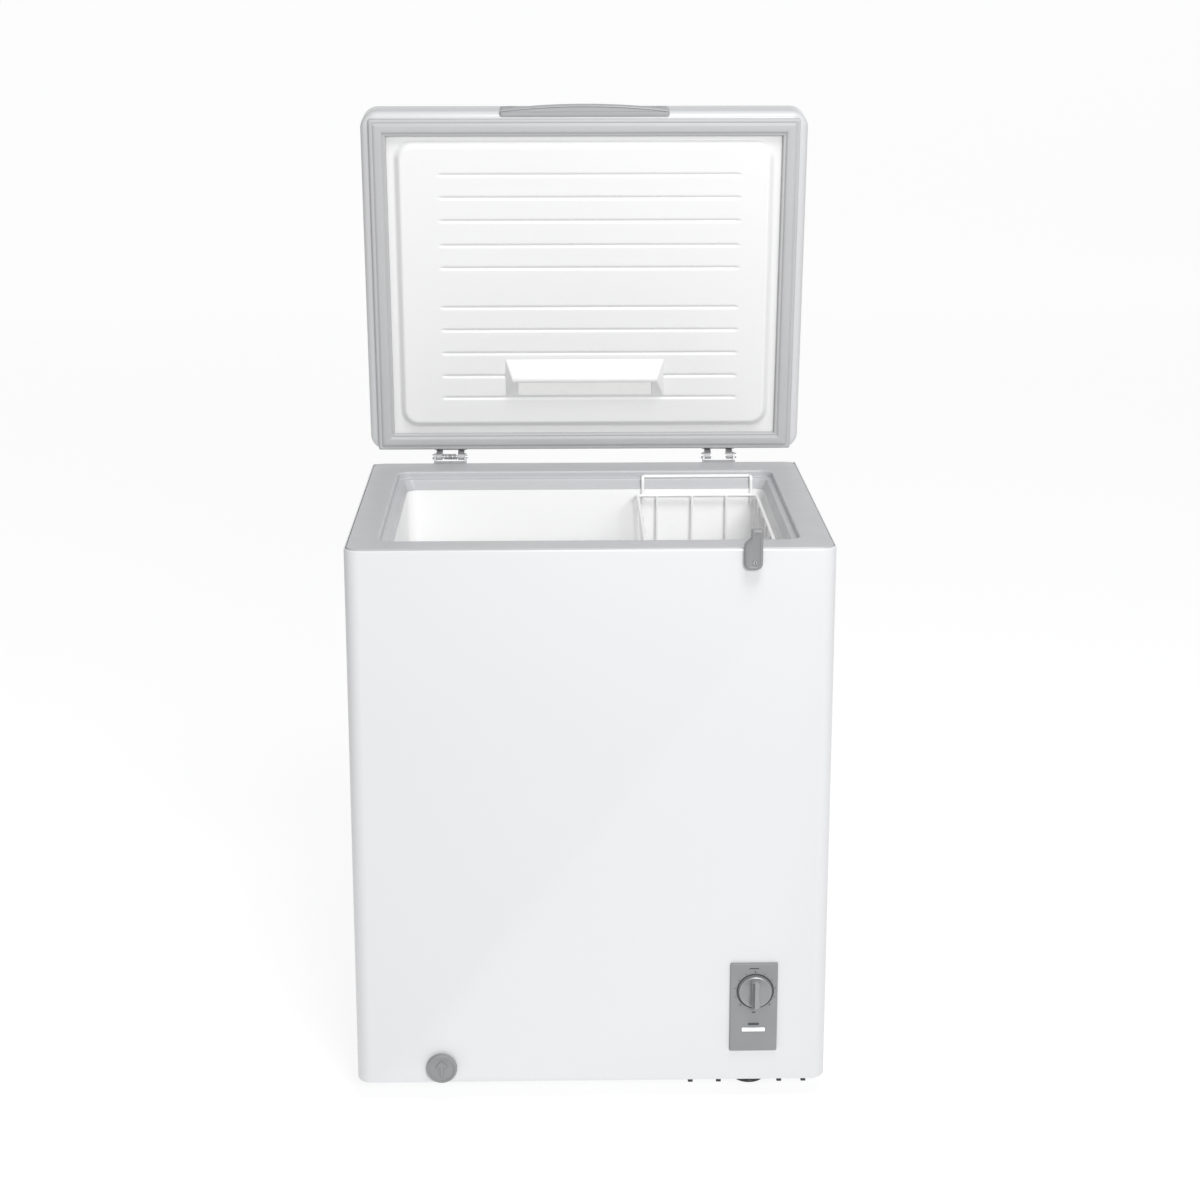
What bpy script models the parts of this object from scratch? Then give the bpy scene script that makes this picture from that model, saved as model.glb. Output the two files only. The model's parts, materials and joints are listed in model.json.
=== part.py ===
"""A compact chest freezer, lid open, as an assembly of separate pieces.

Metres, +Z up, front towards -Y. The origin is on the floor, in the middle of the open freezer's box.
Pieces of the cabinet are drawn with Y counted from the cabinet's front face and Z from the floor.
Pieces of the lid are drawn with the lid closed, and the lid pivot then swings them open.
"""

import math

import bmesh
import bpy
from mathutils import Vector

# Overall sizes
CABINET_W = 0.630
CABINET_D = 0.510
RIM_Z = 0.769
SHELL_BOTTOM_Z = 0.028
FRONT_Y = -0.2763
CORNER_R = 0.020
SHEET = 0.0008
GAP = 0.0003
HALF_W = CABINET_W / 2

# Top frame: widths of its flat top, then the steps of the collar inside it
OPENING_HALF_W = 0.272
OPENING_FRONT = 0.0455
OPENING_BACK = 0.4476
OPENING_R = 0.018
LEDGE_DEPTH = 0.010
LEDGE_W = 0.008
COLLAR_DEPTH = 0.024
COLLAR_W = 0.013
FRAME_WALL = 0.002

# Liner of the storage space, with a step over the machine compartment
LINER_WALL = 0.001
LINER_R = 0.022
LINER_FLOOR_Z = 0.088
STEP_X = 0.125
STEP_Z = 0.300
COIL_LAYER = 0.009

# Machine compartment at the lower right
MACHINE_WALL_X = 0.170
MACHINE_TOP_Z = 0.255
MACHINE_X = 0.238
COMPRESSOR_Y = 0.375

# Lid, closed
LID_HALF_W = 0.318
LID_FRONT = 0.004
LID_BACK = 0.510
LID_R = 0.024
LID_BOTTOM = 0.0105
LID_TOP = 0.066
LID_ROLL = 0.012
LID_TOP_ROLL = 0.006
LID_FLANGE = 0.022
HANDLE_HALF_W = 0.120
HANDLE_REACH = 0.0098
HANDLE_TOP = 0.040
LID_OPEN_DEG = 83.0
GASKET_HALF_W = 0.3055
GASKET_FRONT = 0.0125
GASKET_BACK = 0.5045
GASKET_BOTTOM = 0.0005
PLATEAU_BOTTOM = 0.0035
LAMP_HALF_W = 0.116
LAMP_DEPTH = -0.012

# Hinges
HINGE_Y = 0.517
HINGE_Z = RIM_Z + 0.007
HINGE_X = 0.200
HINGE_HALF_W = 0.024
PIN_R = 0.0025
KNUCKLE_R = 0.0048
EAR_R = 0.0053

# Front controls
KNOB_X = 0.2186
KNOB_Z = 0.159
KNOB_R = 0.022
PANEL_X = 0.217
PANEL_Z = 0.135
PANEL_W = 0.0634
PANEL_H = 0.1267
PANEL_FRONT = -0.0045
LENS_Z = 0.103
LOCK_X = 0.2067
LOCK_BARREL_X = LOCK_X + 0.0018
LOCK_BARREL_Z = RIM_Z - 0.0175
DRAIN_X = -0.2007
DRAIN_Z = 0.051
DRAIN_PLUG_Y = 0.084

# Basket
BASKET_X0 = 0.073
BASKET_X1 = 0.252
BASKET_Y0 = 0.0625
BASKET_Y1 = 0.4305
BASKET_TOP_Z = RIM_Z - 0.030
BASKET_FLOOR_Z = RIM_Z - 0.205
BASKET_WALL = 0.003
BAIL_WIRE_R = 0.0025
BAIL_INSET = 0.0105

WHITE = (0.90, 0.91, 0.91)
LIGHT_GREY = (0.50, 0.51, 0.53)
DARK_GREY = (0.16, 0.165, 0.17)
BLACK = (0.015, 0.015, 0.016)
STEEL = (0.45, 0.45, 0.46)
COPPER = (0.60, 0.27, 0.14)
FOAM = (0.85, 0.74, 0.45)


# Scene, materials and objects


def clear_scene():
    for obj in list(bpy.data.objects):
        bpy.data.objects.remove(obj)


def material(name, color, roughness, metallic=0.0):
    found = bpy.data.materials.get(name)
    if found:
        return found
    made = bpy.data.materials.new(name)
    made.use_nodes = True
    shader = made.node_tree.nodes["Principled BSDF"]
    shader.inputs["Base Color"].default_value = (*color, 1.0)
    shader.inputs["Roughness"].default_value = roughness
    shader.inputs["Metallic"].default_value = metallic
    return made


def white_paint():
    return material("white_paint", WHITE, 0.35)


def white_plastic():
    return material("white_plastic", WHITE, 0.45)


def grey_plastic():
    return material("grey_plastic", LIGHT_GREY, 0.5)


def black_plastic():
    return material("black_plastic", BLACK, 0.5)


def bare_steel():
    return material("bare_steel", STEEL, 0.35, 1.0)


def copper():
    return material("copper", COPPER, 0.3, 1.0)


def empty(name, location, parent=None, rotation=(0, 0, 0)):
    obj = bpy.data.objects.new(name, None)
    obj.location = location
    obj.rotation_euler = rotation
    obj.parent = parent
    bpy.context.scene.collection.objects.link(obj)
    return obj


def add(name, bm, surface, parent=None, location=(0, 0, 0), rotation=(0, 0, 0), sharp_deg=35):
    """An object from a closed bmesh, with its faces pointing out."""
    bmesh.ops.recalc_face_normals(bm, faces=bm.faces)
    if bm.calc_volume(signed=True) < 0:
        bmesh.ops.reverse_faces(bm, faces=bm.faces)
    mesh = bpy.data.meshes.new(name)
    bm.to_mesh(mesh)
    bm.free()
    mesh.shade_smooth()
    mesh.set_sharp_from_angle(angle=math.radians(sharp_deg))
    obj = bpy.data.objects.new(name, mesh)
    obj.location = location
    obj.rotation_euler = rotation
    obj.parent = parent
    bpy.context.scene.collection.objects.link(obj)
    if surface:
        mesh.materials.append(surface)
    return obj


def cutter(name, bm, parent=None, location=(0, 0, 0), rotation=(0, 0, 0)):
    obj = add(name, bm, None, parent, location, rotation)
    obj.hide_render = True
    obj.display_type = "WIRE"
    return obj


def combine(obj, other, operation="DIFFERENCE"):
    modifier = obj.modifiers.new(other.name, "BOOLEAN")
    modifier.operation = operation
    modifier.solver = "EXACT"
    modifier.object = other


# Shapes


def rounded_rect(x0, x1, y0, y1, r, z, arc=4):
    """A closed loop of points, anticlockwise from above, with the same count whatever its size."""
    centres = ((x1 - r, y0 + r, -90), (x1 - r, y1 - r, 0), (x0 + r, y1 - r, 90), (x0 + r, y0 + r, 180))
    points = []
    for cx, cy, start in centres:
        for i in range(arc + 1):
            a = math.radians(start + 90 * i / arc)
            points.append(Vector((cx + r * math.cos(a), cy + r * math.sin(a), z)))
    return points


def rect(x0, x1, y0, y1, z):
    return [Vector(p) for p in ((x0, y0, z), (x1, y0, z), (x1, y1, z), (x0, y1, z))]


def loft(loops, ring=False):
    """Skins a row of loops. A ring joins the last loop to the first; otherwise both ends are capped."""
    bm = bmesh.new()
    rows = [[bm.verts.new(p) for p in loop] for loop in loops]
    pairs = list(zip(rows, rows[1:]))
    if ring:
        pairs.append((rows[-1], rows[0]))
    for low, high in pairs:
        for i in range(len(low)):
            j = (i + 1) % len(low)
            bm.faces.new((low[i], low[j], high[j], high[i]))
    if not ring:
        bm.faces.new(rows[0])
        bm.faces.new(rows[-1])
    return bm


def block(x0, x1, y0, y1, z0, z1):
    return loft([rect(x0, x1, y0, y1, z0), rect(x0, x1, y0, y1, z1)])


def prism_x(outline, x0, x1):
    """An outline of (y, z) points drawn along X."""
    return loft([[Vector((x, y, z)) for y, z in outline] for x in (x0, x1)])


def prism_y(outline, y0, y1):
    """An outline of (x, z) points drawn along Y."""
    return loft([[Vector((x, y, z)) for x, z in outline] for y in (y0, y1)])


def circle(r, z, sides, stretch=1.0):
    turns = [2 * math.pi * i / sides for i in range(sides)]
    return [Vector((r * math.cos(a), r * stretch * math.sin(a), z)) for a in turns]


def turned(profile, sides=24, ring=False, stretch=1.0):
    """A profile of (radius, height) points turned about Z."""
    return loft([circle(r, z, sides, stretch) for r, z in profile], ring)


def filleted(points, r, arc=4):
    """The same route with its corners rounded."""
    points = [Vector(p) for p in points]
    route = [points[0]]
    for before, corner, after in zip(points, points[1:], points[2:]):
        a = (before - corner).normalized()
        b = (after - corner).normalized()
        half = a.angle(b) / 2
        back = r / math.tan(half)
        centre = corner + (a + b).normalized() * (r / math.sin(half))
        start = corner + a * back - centre
        end = corner + b * back - centre
        for i in range(arc + 1):
            route.append(centre + start.slerp(end, i / arc).normalized() * r)
    route.append(points[-1])
    return route


def tube(name, route, radius, surface, parent=None, location=(0, 0, 0), resolution=1):
    curve = bpy.data.curves.new(name, "CURVE")
    curve.dimensions = "3D"
    spline = curve.splines.new("POLY")
    spline.points.add(len(route) - 1)
    for point, place in zip(spline.points, route):
        point.co = (*place, 1.0)
    curve.bevel_depth = radius
    curve.bevel_resolution = resolution
    curve.use_fill_caps = True
    curve.materials.append(surface)
    obj = bpy.data.objects.new(name, curve)
    obj.location = location
    obj.parent = parent
    bpy.context.scene.collection.objects.link(obj)
    return obj


# Cabinet


def wrap_path(inset):
    """The plan of the wrapper: two sides and the front, with a short return across the back."""
    half = HALF_W - inset
    front, back = inset, CABINET_D - inset
    fold = 0.003 - inset
    corner = CORNER_R - inset
    end = HALF_W - 0.016
    path = [(-end, back)]
    for cx, cy, r, start in (
        (-half + fold, back - fold, fold, 90),
        (-half + corner, front + corner, corner, 180),
        (half - corner, front + corner, corner, 270),
        (half - fold, back - fold, fold, 0),
    ):
        for i in range(6):
            a = math.radians(start + 90 * i / 5)
            path.append((cx + r * math.cos(a), cy + r * math.sin(a)))
    path.append((end, back))
    return path


def make_outer_shell(cabinet):
    low, high = SHELL_BOTTOM_Z, RIM_Z - 0.0015
    loops = []
    for (ox, oy), (ix, iy) in zip(wrap_path(0.0), wrap_path(SHEET)):
        loops.append([Vector(p) for p in ((ox, oy, low), (ox, oy, high), (ix, iy, high), (ix, iy, low))])
    shell = add("outer_shell", loft(loops), white_paint(), cabinet)
    vent_hole = block(HALF_W - 0.01, HALF_W + 0.01, 0.205, 0.435, 0.075, 0.205)
    combine(shell, cutter("cut_vent_hole", vent_hole, cabinet))
    face_front = (math.radians(90), 0, 0)
    shaft_hole = turned([(0.006, -0.01), (0.006, 0.01)], 16)
    combine(shell, cutter("cut_shaft_hole", shaft_hole, cabinet, (KNOB_X, 0, KNOB_Z), face_front))
    drain_hole = turned([(0.0135, -0.01), (0.0135, 0.01)], 20)
    combine(shell, cutter("cut_drain_hole", drain_hole, cabinet, (DRAIN_X, 0, DRAIN_Z), face_front))


def make_back_panel(cabinet):
    back = CABINET_D - SHEET - GAP
    half = HALF_W - SHEET - GAP - 0.002
    panel = block(-half, half, back - SHEET, back, SHELL_BOTTOM_Z, RIM_Z - 0.0015)
    panel = add("back_panel", panel, white_paint(), cabinet)
    hole = block(MACHINE_WALL_X + 0.006, HALF_W - 0.022, back - 0.02, back + 0.02, 0.040, MACHINE_TOP_Z - 0.012)
    combine(panel, cutter("cut_machine_opening", hole, cabinet))


def make_floor_pan(cabinet):
    side = HALF_W - SHEET - GAP
    low = SHELL_BOTTOM_Z + GAP
    outline = [
        (-side, low),
        (MACHINE_WALL_X + SHEET, low),
        (MACHINE_WALL_X + SHEET, MACHINE_TOP_Z - SHEET),
        (side, MACHINE_TOP_Z - SHEET),
        (side, MACHINE_TOP_Z),
        (MACHINE_WALL_X, MACHINE_TOP_Z),
        (MACHINE_WALL_X, low + SHEET),
        (-side, low + SHEET),
    ]
    galvanised = material("galvanised", (0.55, 0.56, 0.58), 0.45, 1.0)
    pan = add("floor_pan", prism_y(outline, -0.01, CABINET_D + 0.01), galvanised, cabinet)
    plan = [frame_edge(0.0, z) for z in (-RIM_Z, -RIM_Z / 2)]
    combine(pan, cutter("keep_pan_plan", loft(plan), cabinet), "INTERSECT")


def liner_rect(outset, z):
    half = OPENING_HALF_W - COLLAR_W + LINER_WALL + outset
    front = OPENING_FRONT + COLLAR_W + 0.0015 - LINER_WALL - outset
    back = OPENING_BACK - COLLAR_W + 0.0004 + LINER_WALL + outset
    return rounded_rect(-half, half, front, back, LINER_R + outset, z)


def liner_block(outset, floor, top):
    """The liner's space grown by outset, with rounded lower edges."""
    edge = 0.012
    loops = [liner_rect(outset - edge, floor), liner_rect(outset - edge * 0.29, floor + edge * 0.29)]
    loops.append(liner_rect(outset, floor + edge))
    loops.append(liner_rect(outset, top))
    return loft(loops)


def step_block(outset):
    """What the step over the machine compartment takes out of the liner's space."""
    return block(STEP_X - outset, 0.40, -0.10, 0.60, -0.10, STEP_Z + outset)


def make_inner_liner(cabinet):
    top = RIM_Z - COLLAR_DEPTH - GAP
    liner = add("inner_liner", liner_block(0.0, LINER_FLOOR_Z, top), white_plastic(), cabinet)
    combine(liner, cutter("cut_step", step_block(0.0), cabinet))
    hollow = cutter("cut_liner_hollow", liner_block(-LINER_WALL, LINER_FLOOR_Z + LINER_WALL, top + 0.05), cabinet)
    combine(hollow, cutter("cut_hollow_step", step_block(LINER_WALL), cabinet))
    combine(liner, hollow)
    drain = turned([(0.0080, -0.02), (0.0080, 0.02)], 16)
    combine(liner, cutter("cut_liner_drain", drain, cabinet, (DRAIN_X, DRAIN_PLUG_Y, LINER_FLOOR_Z)))


def make_cabinet_foam(cabinet):
    """Foam between liner and casing. It stands off both by the depth of the tubes laid against them."""
    side = HALF_W - SHEET - 0.007
    top = RIM_Z - COLLAR_DEPTH - 0.002
    low = SHELL_BOTTOM_Z + SHEET + 2 * GAP
    front, back = SHEET + 0.007, CABINET_D - 2 * SHEET - 3 * GAP
    loops = [rounded_rect(-side, side, front, back, 0.013, z) for z in (low, top)]
    foam = add("cabinet_foam", loft(loops), material("foam", FOAM, 0.9), cabinet)
    hollow = cutter("cut_foam_hollow", liner_block(COIL_LAYER + GAP, LINER_FLOOR_Z - GAP, top + 0.05), cabinet)
    combine(hollow, cutter("cut_foam_step", step_block(-GAP), cabinet))
    combine(foam, hollow)
    machine = block(MACHINE_WALL_X - GAP, 0.40, -0.10, 0.60, -0.10, MACHINE_TOP_Z + GAP)
    combine(foam, cutter("cut_foam_machine", machine, cabinet))
    drain = block(DRAIN_X - 0.0135, DRAIN_X + 0.0135, -0.02, 0.0985, 0.0370, LINER_FLOOR_Z + 0.005)
    combine(foam, cutter("cut_foam_drain", drain, cabinet))


def frame_loop(outset, z, r):
    """A loop round the top opening, grown by outset."""
    return rounded_rect(
        -OPENING_HALF_W - outset,
        OPENING_HALF_W + outset,
        OPENING_FRONT - outset,
        OPENING_BACK + outset,
        r,
        RIM_Z + z,
        arc=6,
    )


def frame_edge(inset, z):
    """A loop round the frame's outer edge, just inside the wrapper."""
    side = HALF_W - SHEET - GAP - inset
    front = SHEET + GAP + inset
    back = CABINET_D - 2 * SHEET - 2 * GAP - inset
    return rounded_rect(-side, side, front, back, CORNER_R - SHEET - GAP - inset, RIM_Z + z, arc=6)


def make_top_frame(cabinet):
    w = FRAME_WALL
    loops = [
        frame_edge(0.0, -0.020),
        frame_edge(0.0, -0.0012),
        frame_edge(0.0012, 0.0),
        frame_loop(0.0015, 0.0, OPENING_R + 0.0015),
        frame_loop(0.0, -0.0015, OPENING_R),
        frame_loop(0.0, -LEDGE_DEPTH, OPENING_R),
        frame_loop(-LEDGE_W, -LEDGE_DEPTH, OPENING_R - 0.004),
        frame_loop(-COLLAR_W, -COLLAR_DEPTH, OPENING_R - 0.002),
        frame_loop(-COLLAR_W + w, -COLLAR_DEPTH, OPENING_R - 0.001),
        frame_loop(-LEDGE_W + w, -LEDGE_DEPTH - w, OPENING_R - 0.002),
        frame_loop(w, -LEDGE_DEPTH - w, OPENING_R + w),
        frame_loop(w, -w - 0.0005, OPENING_R + w),
        frame_edge(w, -w - 0.0005),
        frame_edge(w, -0.020),
    ]
    add("top_frame", loft(loops, ring=True), grey_plastic(), cabinet)


def make_evaporator(cabinet):
    """A tube wound round the liner, from above the step to just under the frame."""
    radius = 0.0035
    turns, low, high = 5, STEP_Z + 0.035, RIM_Z - 0.060
    stand_off = 0.001 + radius
    lap = rounded_rect(*liner_limits(stand_off), LINER_R + stand_off, 0.0, arc=3)
    count = turns * len(lap)
    route = []
    for i in range(count):
        corner = lap[i % len(lap)]
        route.append((corner.x, corner.y, low + (high - low) * i / (count - 1)))
    tube("evaporator_coil", route, radius, material("coil_aluminium", (0.7, 0.7, 0.72), 0.4, 1.0), cabinet)


def liner_limits(outset):
    loop = liner_rect(outset, 0.0)
    xs = [p.x for p in loop]
    ys = [p.y for p in loop]
    return min(xs), max(xs), min(ys), max(ys)


def make_condenser(cabinet):
    """A serpentine against the inside of the wrapper: left side, front, right side and back again."""
    radius = 0.0025
    inset = SHEET + GAP + radius
    half = HALF_W - inset
    back = CABINET_D - 0.045
    corner = CORNER_R - inset
    level = []
    for cx, start in ((-half + corner, 180), (half - corner, 270)):
        for i in range(4):
            a = math.radians(start + 30 * i)
            level.append((cx + corner * math.cos(a), inset + corner + corner * math.sin(a)))
    level = [(-half, back)] + level + [(half, back)]
    route = []
    for row in range(4):
        z = 0.330 + 0.115 * row
        ordered = level if row % 2 == 0 else level[::-1]
        route += [(x, y, z) for x, y in ordered]
    tube("condenser_coil", route, radius, material("coil_steel", (0.12, 0.12, 0.13), 0.4, 1.0), cabinet)


def make_machine(cabinet):
    """Compressor on its sprung base, with its pipes, drier and starting relay."""
    tray_top = SHELL_BOTTOM_Z - GAP
    tray = block(0.130, HALF_W - 0.0045, 0.014, 0.500, tray_top - 0.0016, tray_top)
    add("compressor_tray", tray, material("galvanised", (0.55, 0.56, 0.58), 0.45, 1.0), cabinet)
    base_z = tray_top + GAP + 0.012 + GAP
    base = rounded_rect(-0.048, 0.048, -0.088, 0.088, 0.012, 0.0)
    top = rounded_rect(-0.048, 0.048, -0.088, 0.088, 0.012, 0.0025)
    place = (MACHINE_X, COMPRESSOR_Y, base_z)
    add("compressor_base", loft([base, top]), bare_steel(), cabinet, place)
    grommet = [(0.0095, 0.0), (0.0095, 0.003), (0.0070, 0.005), (0.0095, 0.007), (0.0095, 0.012)]
    for n, (dx, dy) in enumerate(((-1, -1), (1, -1), (-1, 1), (1, 1)), 1):
        spot = (MACHINE_X + 0.036 * dx, COMPRESSOR_Y + 0.076 * dy, tray_top + GAP)
        add(f"grommet_{n}", turned(grommet, 14), material("rubber", BLACK, 0.8), cabinet, spot)
    can = [(0.030, 0.0), (0.048, 0.006), (0.053, 0.022), (0.054, 0.060), (0.055, 0.062)]
    can += [(0.055, 0.068), (0.054, 0.070), (0.051, 0.098), (0.040, 0.118), (0.020, 0.126)]
    place = (MACHINE_X, COMPRESSOR_Y, base_z + 0.0025 + GAP)
    paint = material("compressor_black", BLACK, 0.45)
    add("compressor", turned(can, 24, stretch=1.28), paint, cabinet, place)
    relay = block(MACHINE_X - 0.022, MACHINE_X + 0.022, 0.266, 0.302, 0.085, 0.135)
    add("relay_cover", relay, black_plastic(), cabinet)
    drier = [(0.0030, 0.0), (0.0095, 0.010), (0.0095, 0.080), (0.0030, 0.090)]
    add("filter_drier", turned(drier, 16), copper(), cabinet, (0.285, 0.220, 0.118))
    lift = base_z + 0.1291
    out = [(0.228, 0.375, lift), (0.228, 0.375, 0.232), (0.285, 0.220, 0.232), (0.285, 0.220, 0.2085)]
    tube("discharge_pipe", filleted(out, 0.012), 0.0025, copper(), cabinet)
    back = [(0.1725, 0.300, 0.202), (0.250, 0.300, 0.202), (0.250, 0.375, 0.202), (0.250, 0.375, lift)]
    tube("suction_pipe", filleted(back, 0.012), 0.0032, copper(), cabinet)


def slotted_plate(name, x_or_y, box_limits, slots_from, slots, surface, parent):
    """A thin plate with a row of level slots, above slots_from, through its thin direction."""
    plate = add(name, block(*box_limits), surface, parent)
    x0, x1, y0, y1, z0, z1 = box_limits
    step = (z1 - slots_from - 0.010) / slots
    for n in range(slots):
        low = slots_from + step * (n + 0.25)
        high = low + step * 0.5
        if x_or_y == "x":
            slot = block(x0 - 0.01, x1 + 0.01, y0 + 0.015, y1 - 0.015, low, high)
        else:
            slot = block(x0 + 0.015, x1 - 0.015, y0 - 0.01, y1 + 0.01, low, high)
        combine(plate, cutter(f"cut_{name}_{n}", slot, parent))
    return plate


def make_machine_covers(cabinet):
    side = HALF_W - SHEET - GAP
    limits = (side - 0.0025, side, 0.195, 0.445, 0.065, 0.215)
    slotted_plate("side_vent_grille", "x", limits, 0.075, 8, grey_plastic(), cabinet)
    back = CABINET_D - SHEET
    limits = (0.160, HALF_W - 0.0165, back, back + 0.0012, 0.032, MACHINE_TOP_Z - 0.002)
    cover = slotted_plate("machine_cover", "y", limits, 0.085, 8, white_paint(), cabinet)
    face_back = (math.radians(-90), 0, 0)
    hole = turned([(0.0080, -0.02), (0.0080, 0.02)], 16)
    place = (0.200, CABINET_D, 0.060)
    combine(cover, cutter("cut_gland_hole", hole, cabinet, place, face_back))
    gland = [(0.0045, -0.012), (0.0075, -0.012), (0.0075, 0.0008), (0.0110, 0.0008), (0.0110, 0.004)]
    gland += [(0.0080, 0.010), (0.0045, 0.010)]
    add("cord_gland", turned(gland, 16, ring=True), black_plastic(), cabinet, place, face_back)


def make_feet(cabinet):
    foot = [(0.0190, 0.0), (0.0212, 0.002), (0.0218, 0.008), (0.0175, 0.012), (0.0175, 0.0255)]
    taller = foot[:-1] + [(0.0175, SHELL_BOTTOM_Z - GAP)]
    places = (
        ("foot_front_left", taller, -0.235, 0.095),
        ("foot_back_left", taller, -0.235, 0.440),
        ("foot_front_right", foot, 0.217, 0.0625),
        ("foot_back_right", foot, 0.217, 0.440),
    )
    for name, profile, x, y in places:
        add(name, turned(profile, 20), material("rubber", BLACK, 0.8), cabinet, (x, y, 0.0))


# Controls on the front


def make_control_panel(cabinet):
    half_w, half_h = PANEL_W / 2, PANEL_H / 2
    rows = ((0.0, -GAP), (0.0, PANEL_FRONT + 0.0012), (0.0012, PANEL_FRONT))
    loops = []
    for inset, y in rows:
        plan = rounded_rect(-half_w + inset, half_w - inset, -half_h + inset, half_h - inset, 0.004, 0.0)
        loops.append([Vector((p.x, y, p.y)) for p in plan])
    panel = add("control_panel", loft(loops), grey_plastic(), cabinet, (PANEL_X, 0, PANEL_Z))
    face_front = (math.radians(90), 0, 0)
    hole = turned([(0.0040, -0.01), (0.0040, 0.01)], 16)
    combine(panel, cutter("cut_panel_shaft", hole, cabinet, (KNOB_X, 0, KNOB_Z), face_front))
    window = block(PANEL_X - 0.0160, PANEL_X + 0.0160, -0.01, 0.01, LENS_Z - 0.0032, LENS_Z + 0.0032)
    combine(panel, cutter("cut_panel_window", window, cabinet))
    lens = block(PANEL_X - 0.0157, PANEL_X + 0.0157, PANEL_FRONT - 0.0005, -GAP, LENS_Z - 0.0029, LENS_Z + 0.0029)
    add("indicator_lens", lens, white_plastic(), cabinet)


def make_thermostat(cabinet):
    body = block(-0.020, 0.020, 0.0065, 0.038, -0.022, 0.022)
    add("thermostat_body", body, material("beige_plastic", (0.7, 0.66, 0.55), 0.5), cabinet, (KNOB_X, 0, KNOB_Z))
    route = [(KNOB_X, 0.026, KNOB_Z + 0.0225), (KNOB_X, 0.026, MACHINE_TOP_Z - 0.012)]
    route += [(KNOB_X, 0.060, MACHINE_TOP_Z - 0.006)]
    tube("sensor_tube", filleted(route, 0.006), 0.0012, copper(), cabinet)


def make_knob(pivot):
    """Turned about the local Z axis, which points out of the front. The disc carries a straight grip."""
    disc = [(KNOB_R - 0.001, 0.0), (KNOB_R, 0.0008), (KNOB_R, 0.0030), (KNOB_R - 0.0015, 0.0045)]
    knob = add("thermostat_knob", turned(disc, 32), white_plastic(), pivot)
    grip = [rounded_rect(-0.0065, 0.0065, -0.0205, 0.0205, 0.0060, 0.0020, arc=4)]
    grip.append(rounded_rect(-0.0065, 0.0065, -0.0205, 0.0205, 0.0060, 0.0150, arc=4))
    grip.append(rounded_rect(-0.0050, 0.0050, -0.0190, 0.0190, 0.0045, 0.0165, arc=4))
    combine(knob, cutter("join_grip", loft(grip), pivot), "UNION")
    bore = turned([(0.0033, -0.01), (0.0033, 0.0095)], 16)
    combine(knob, cutter("cut_knob_bore", bore, pivot))
    shaft = turned([(0.0030, -0.0108), (0.0030, 0.0090)], 16)
    add("knob_shaft", shaft, bare_steel(), pivot)


def lock_outline():
    """Front view of the lock's tab: round at the foot, with a sloped shoulder on its left."""
    wide, shoulder, r = 0.0117, -0.0033, 0.008
    sides = []
    for cx, start in ((wide - r, 270), (-wide + r, 180)):
        turns = [math.radians(start + 90 * i / 4) for i in range(5)]
        sides.append([(cx + r * math.cos(a), -0.027 + r + r * math.sin(a)) for a in turns])
    right, left = sides
    top = [(wide, 0.0245), (wide - 0.0015, 0.026), (shoulder + 0.0015, 0.026), (shoulder, 0.0245)]
    top += [(shoulder, 0.014), (-wide, 0.006)]
    return right + top + left


def make_lock(cabinet, barrel_pivot):
    outline = lock_outline()
    loops = []
    for y, scale in ((-GAP, 1.0), (-0.0090, 1.0), (-0.0105, 0.90)):
        loops.append([Vector((x * scale, y, RIM_Z + z * scale)) for x, z in outline])
    housing = add("lock_housing", loft(loops), grey_plastic(), cabinet, (LOCK_X, 0, 0))
    hole = turned([(0.0033, -0.02), (0.0033, 0.02)], 16)
    face_front = (math.radians(90), 0, 0)
    combine(housing, cutter("cut_lock_bore", hole, cabinet, (LOCK_BARREL_X, 0, LOCK_BARREL_Z), face_front))
    barrel = turned([(0.0030, 0.0010), (0.0030, 0.0098), (0.0026, 0.0104)], 16)
    barrel = add("lock_barrel", barrel, bare_steel(), barrel_pivot)
    combine(barrel, cutter("cut_keyway", block(-0.0007, 0.0007, -0.0019, 0.0019, 0.0060, 0.02), barrel_pivot))


def make_drain(cabinet, spout_pivot, cap_pivot):
    """Water runs from the liner's floor into a sleeve, and out of a spout that pulls forward and turns."""
    face_front = (math.radians(90), 0, 0)
    sleeve = [(0.0098, -0.060), (0.0125, -0.060), (0.0125, -0.0012), (0.0098, -0.0012)]
    sleeve = add("drain_sleeve", turned(sleeve, 20, ring=True), white_plastic(), cabinet)
    sleeve.location = (DRAIN_X, 0, DRAIN_Z)
    sleeve.rotation_euler = face_front
    riser = [(0.0075, 0.0638), (0.0095, 0.0638), (0.0095, LINER_FLOOR_Z - 0.0006), (0.0075, LINER_FLOOR_Z - 0.0006)]
    add("drain_riser", turned(riser, 16, ring=True), white_plastic(), cabinet, (DRAIN_X, DRAIN_PLUG_Y, 0.0))
    spout = [(0.0070, -0.050), (0.0092, -0.050), (0.0092, 0.0009), (0.0070, 0.0009)]
    add("drain_spout", turned(spout, 20, ring=True), white_plastic(), spout_pivot)
    cap = [(0.0190, 0.0012), (0.0205, 0.0025), (0.0205, 0.0070), (0.0190, 0.0090)]
    cap = add("drain_cap", turned(cap, 32), grey_plastic(), cap_pivot)
    combine(cap, cutter("cut_cap_outlet", block(-0.0040, 0.0040, 0.0020, 0.03, -0.01, 0.0050), cap_pivot))


def make_drain_plug(pivot):
    plug = [(0.0050, -0.010), (0.0068, -0.008), (0.0068, 0.0004), (0.0130, 0.0004), (0.0130, 0.0035)]
    plug += [(0.0050, 0.0045), (0.0050, 0.0110)]
    add("drain_plug", turned(plug, 20), material("rubber_grey", DARK_GREY, 0.8), pivot)


# Lid


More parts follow.
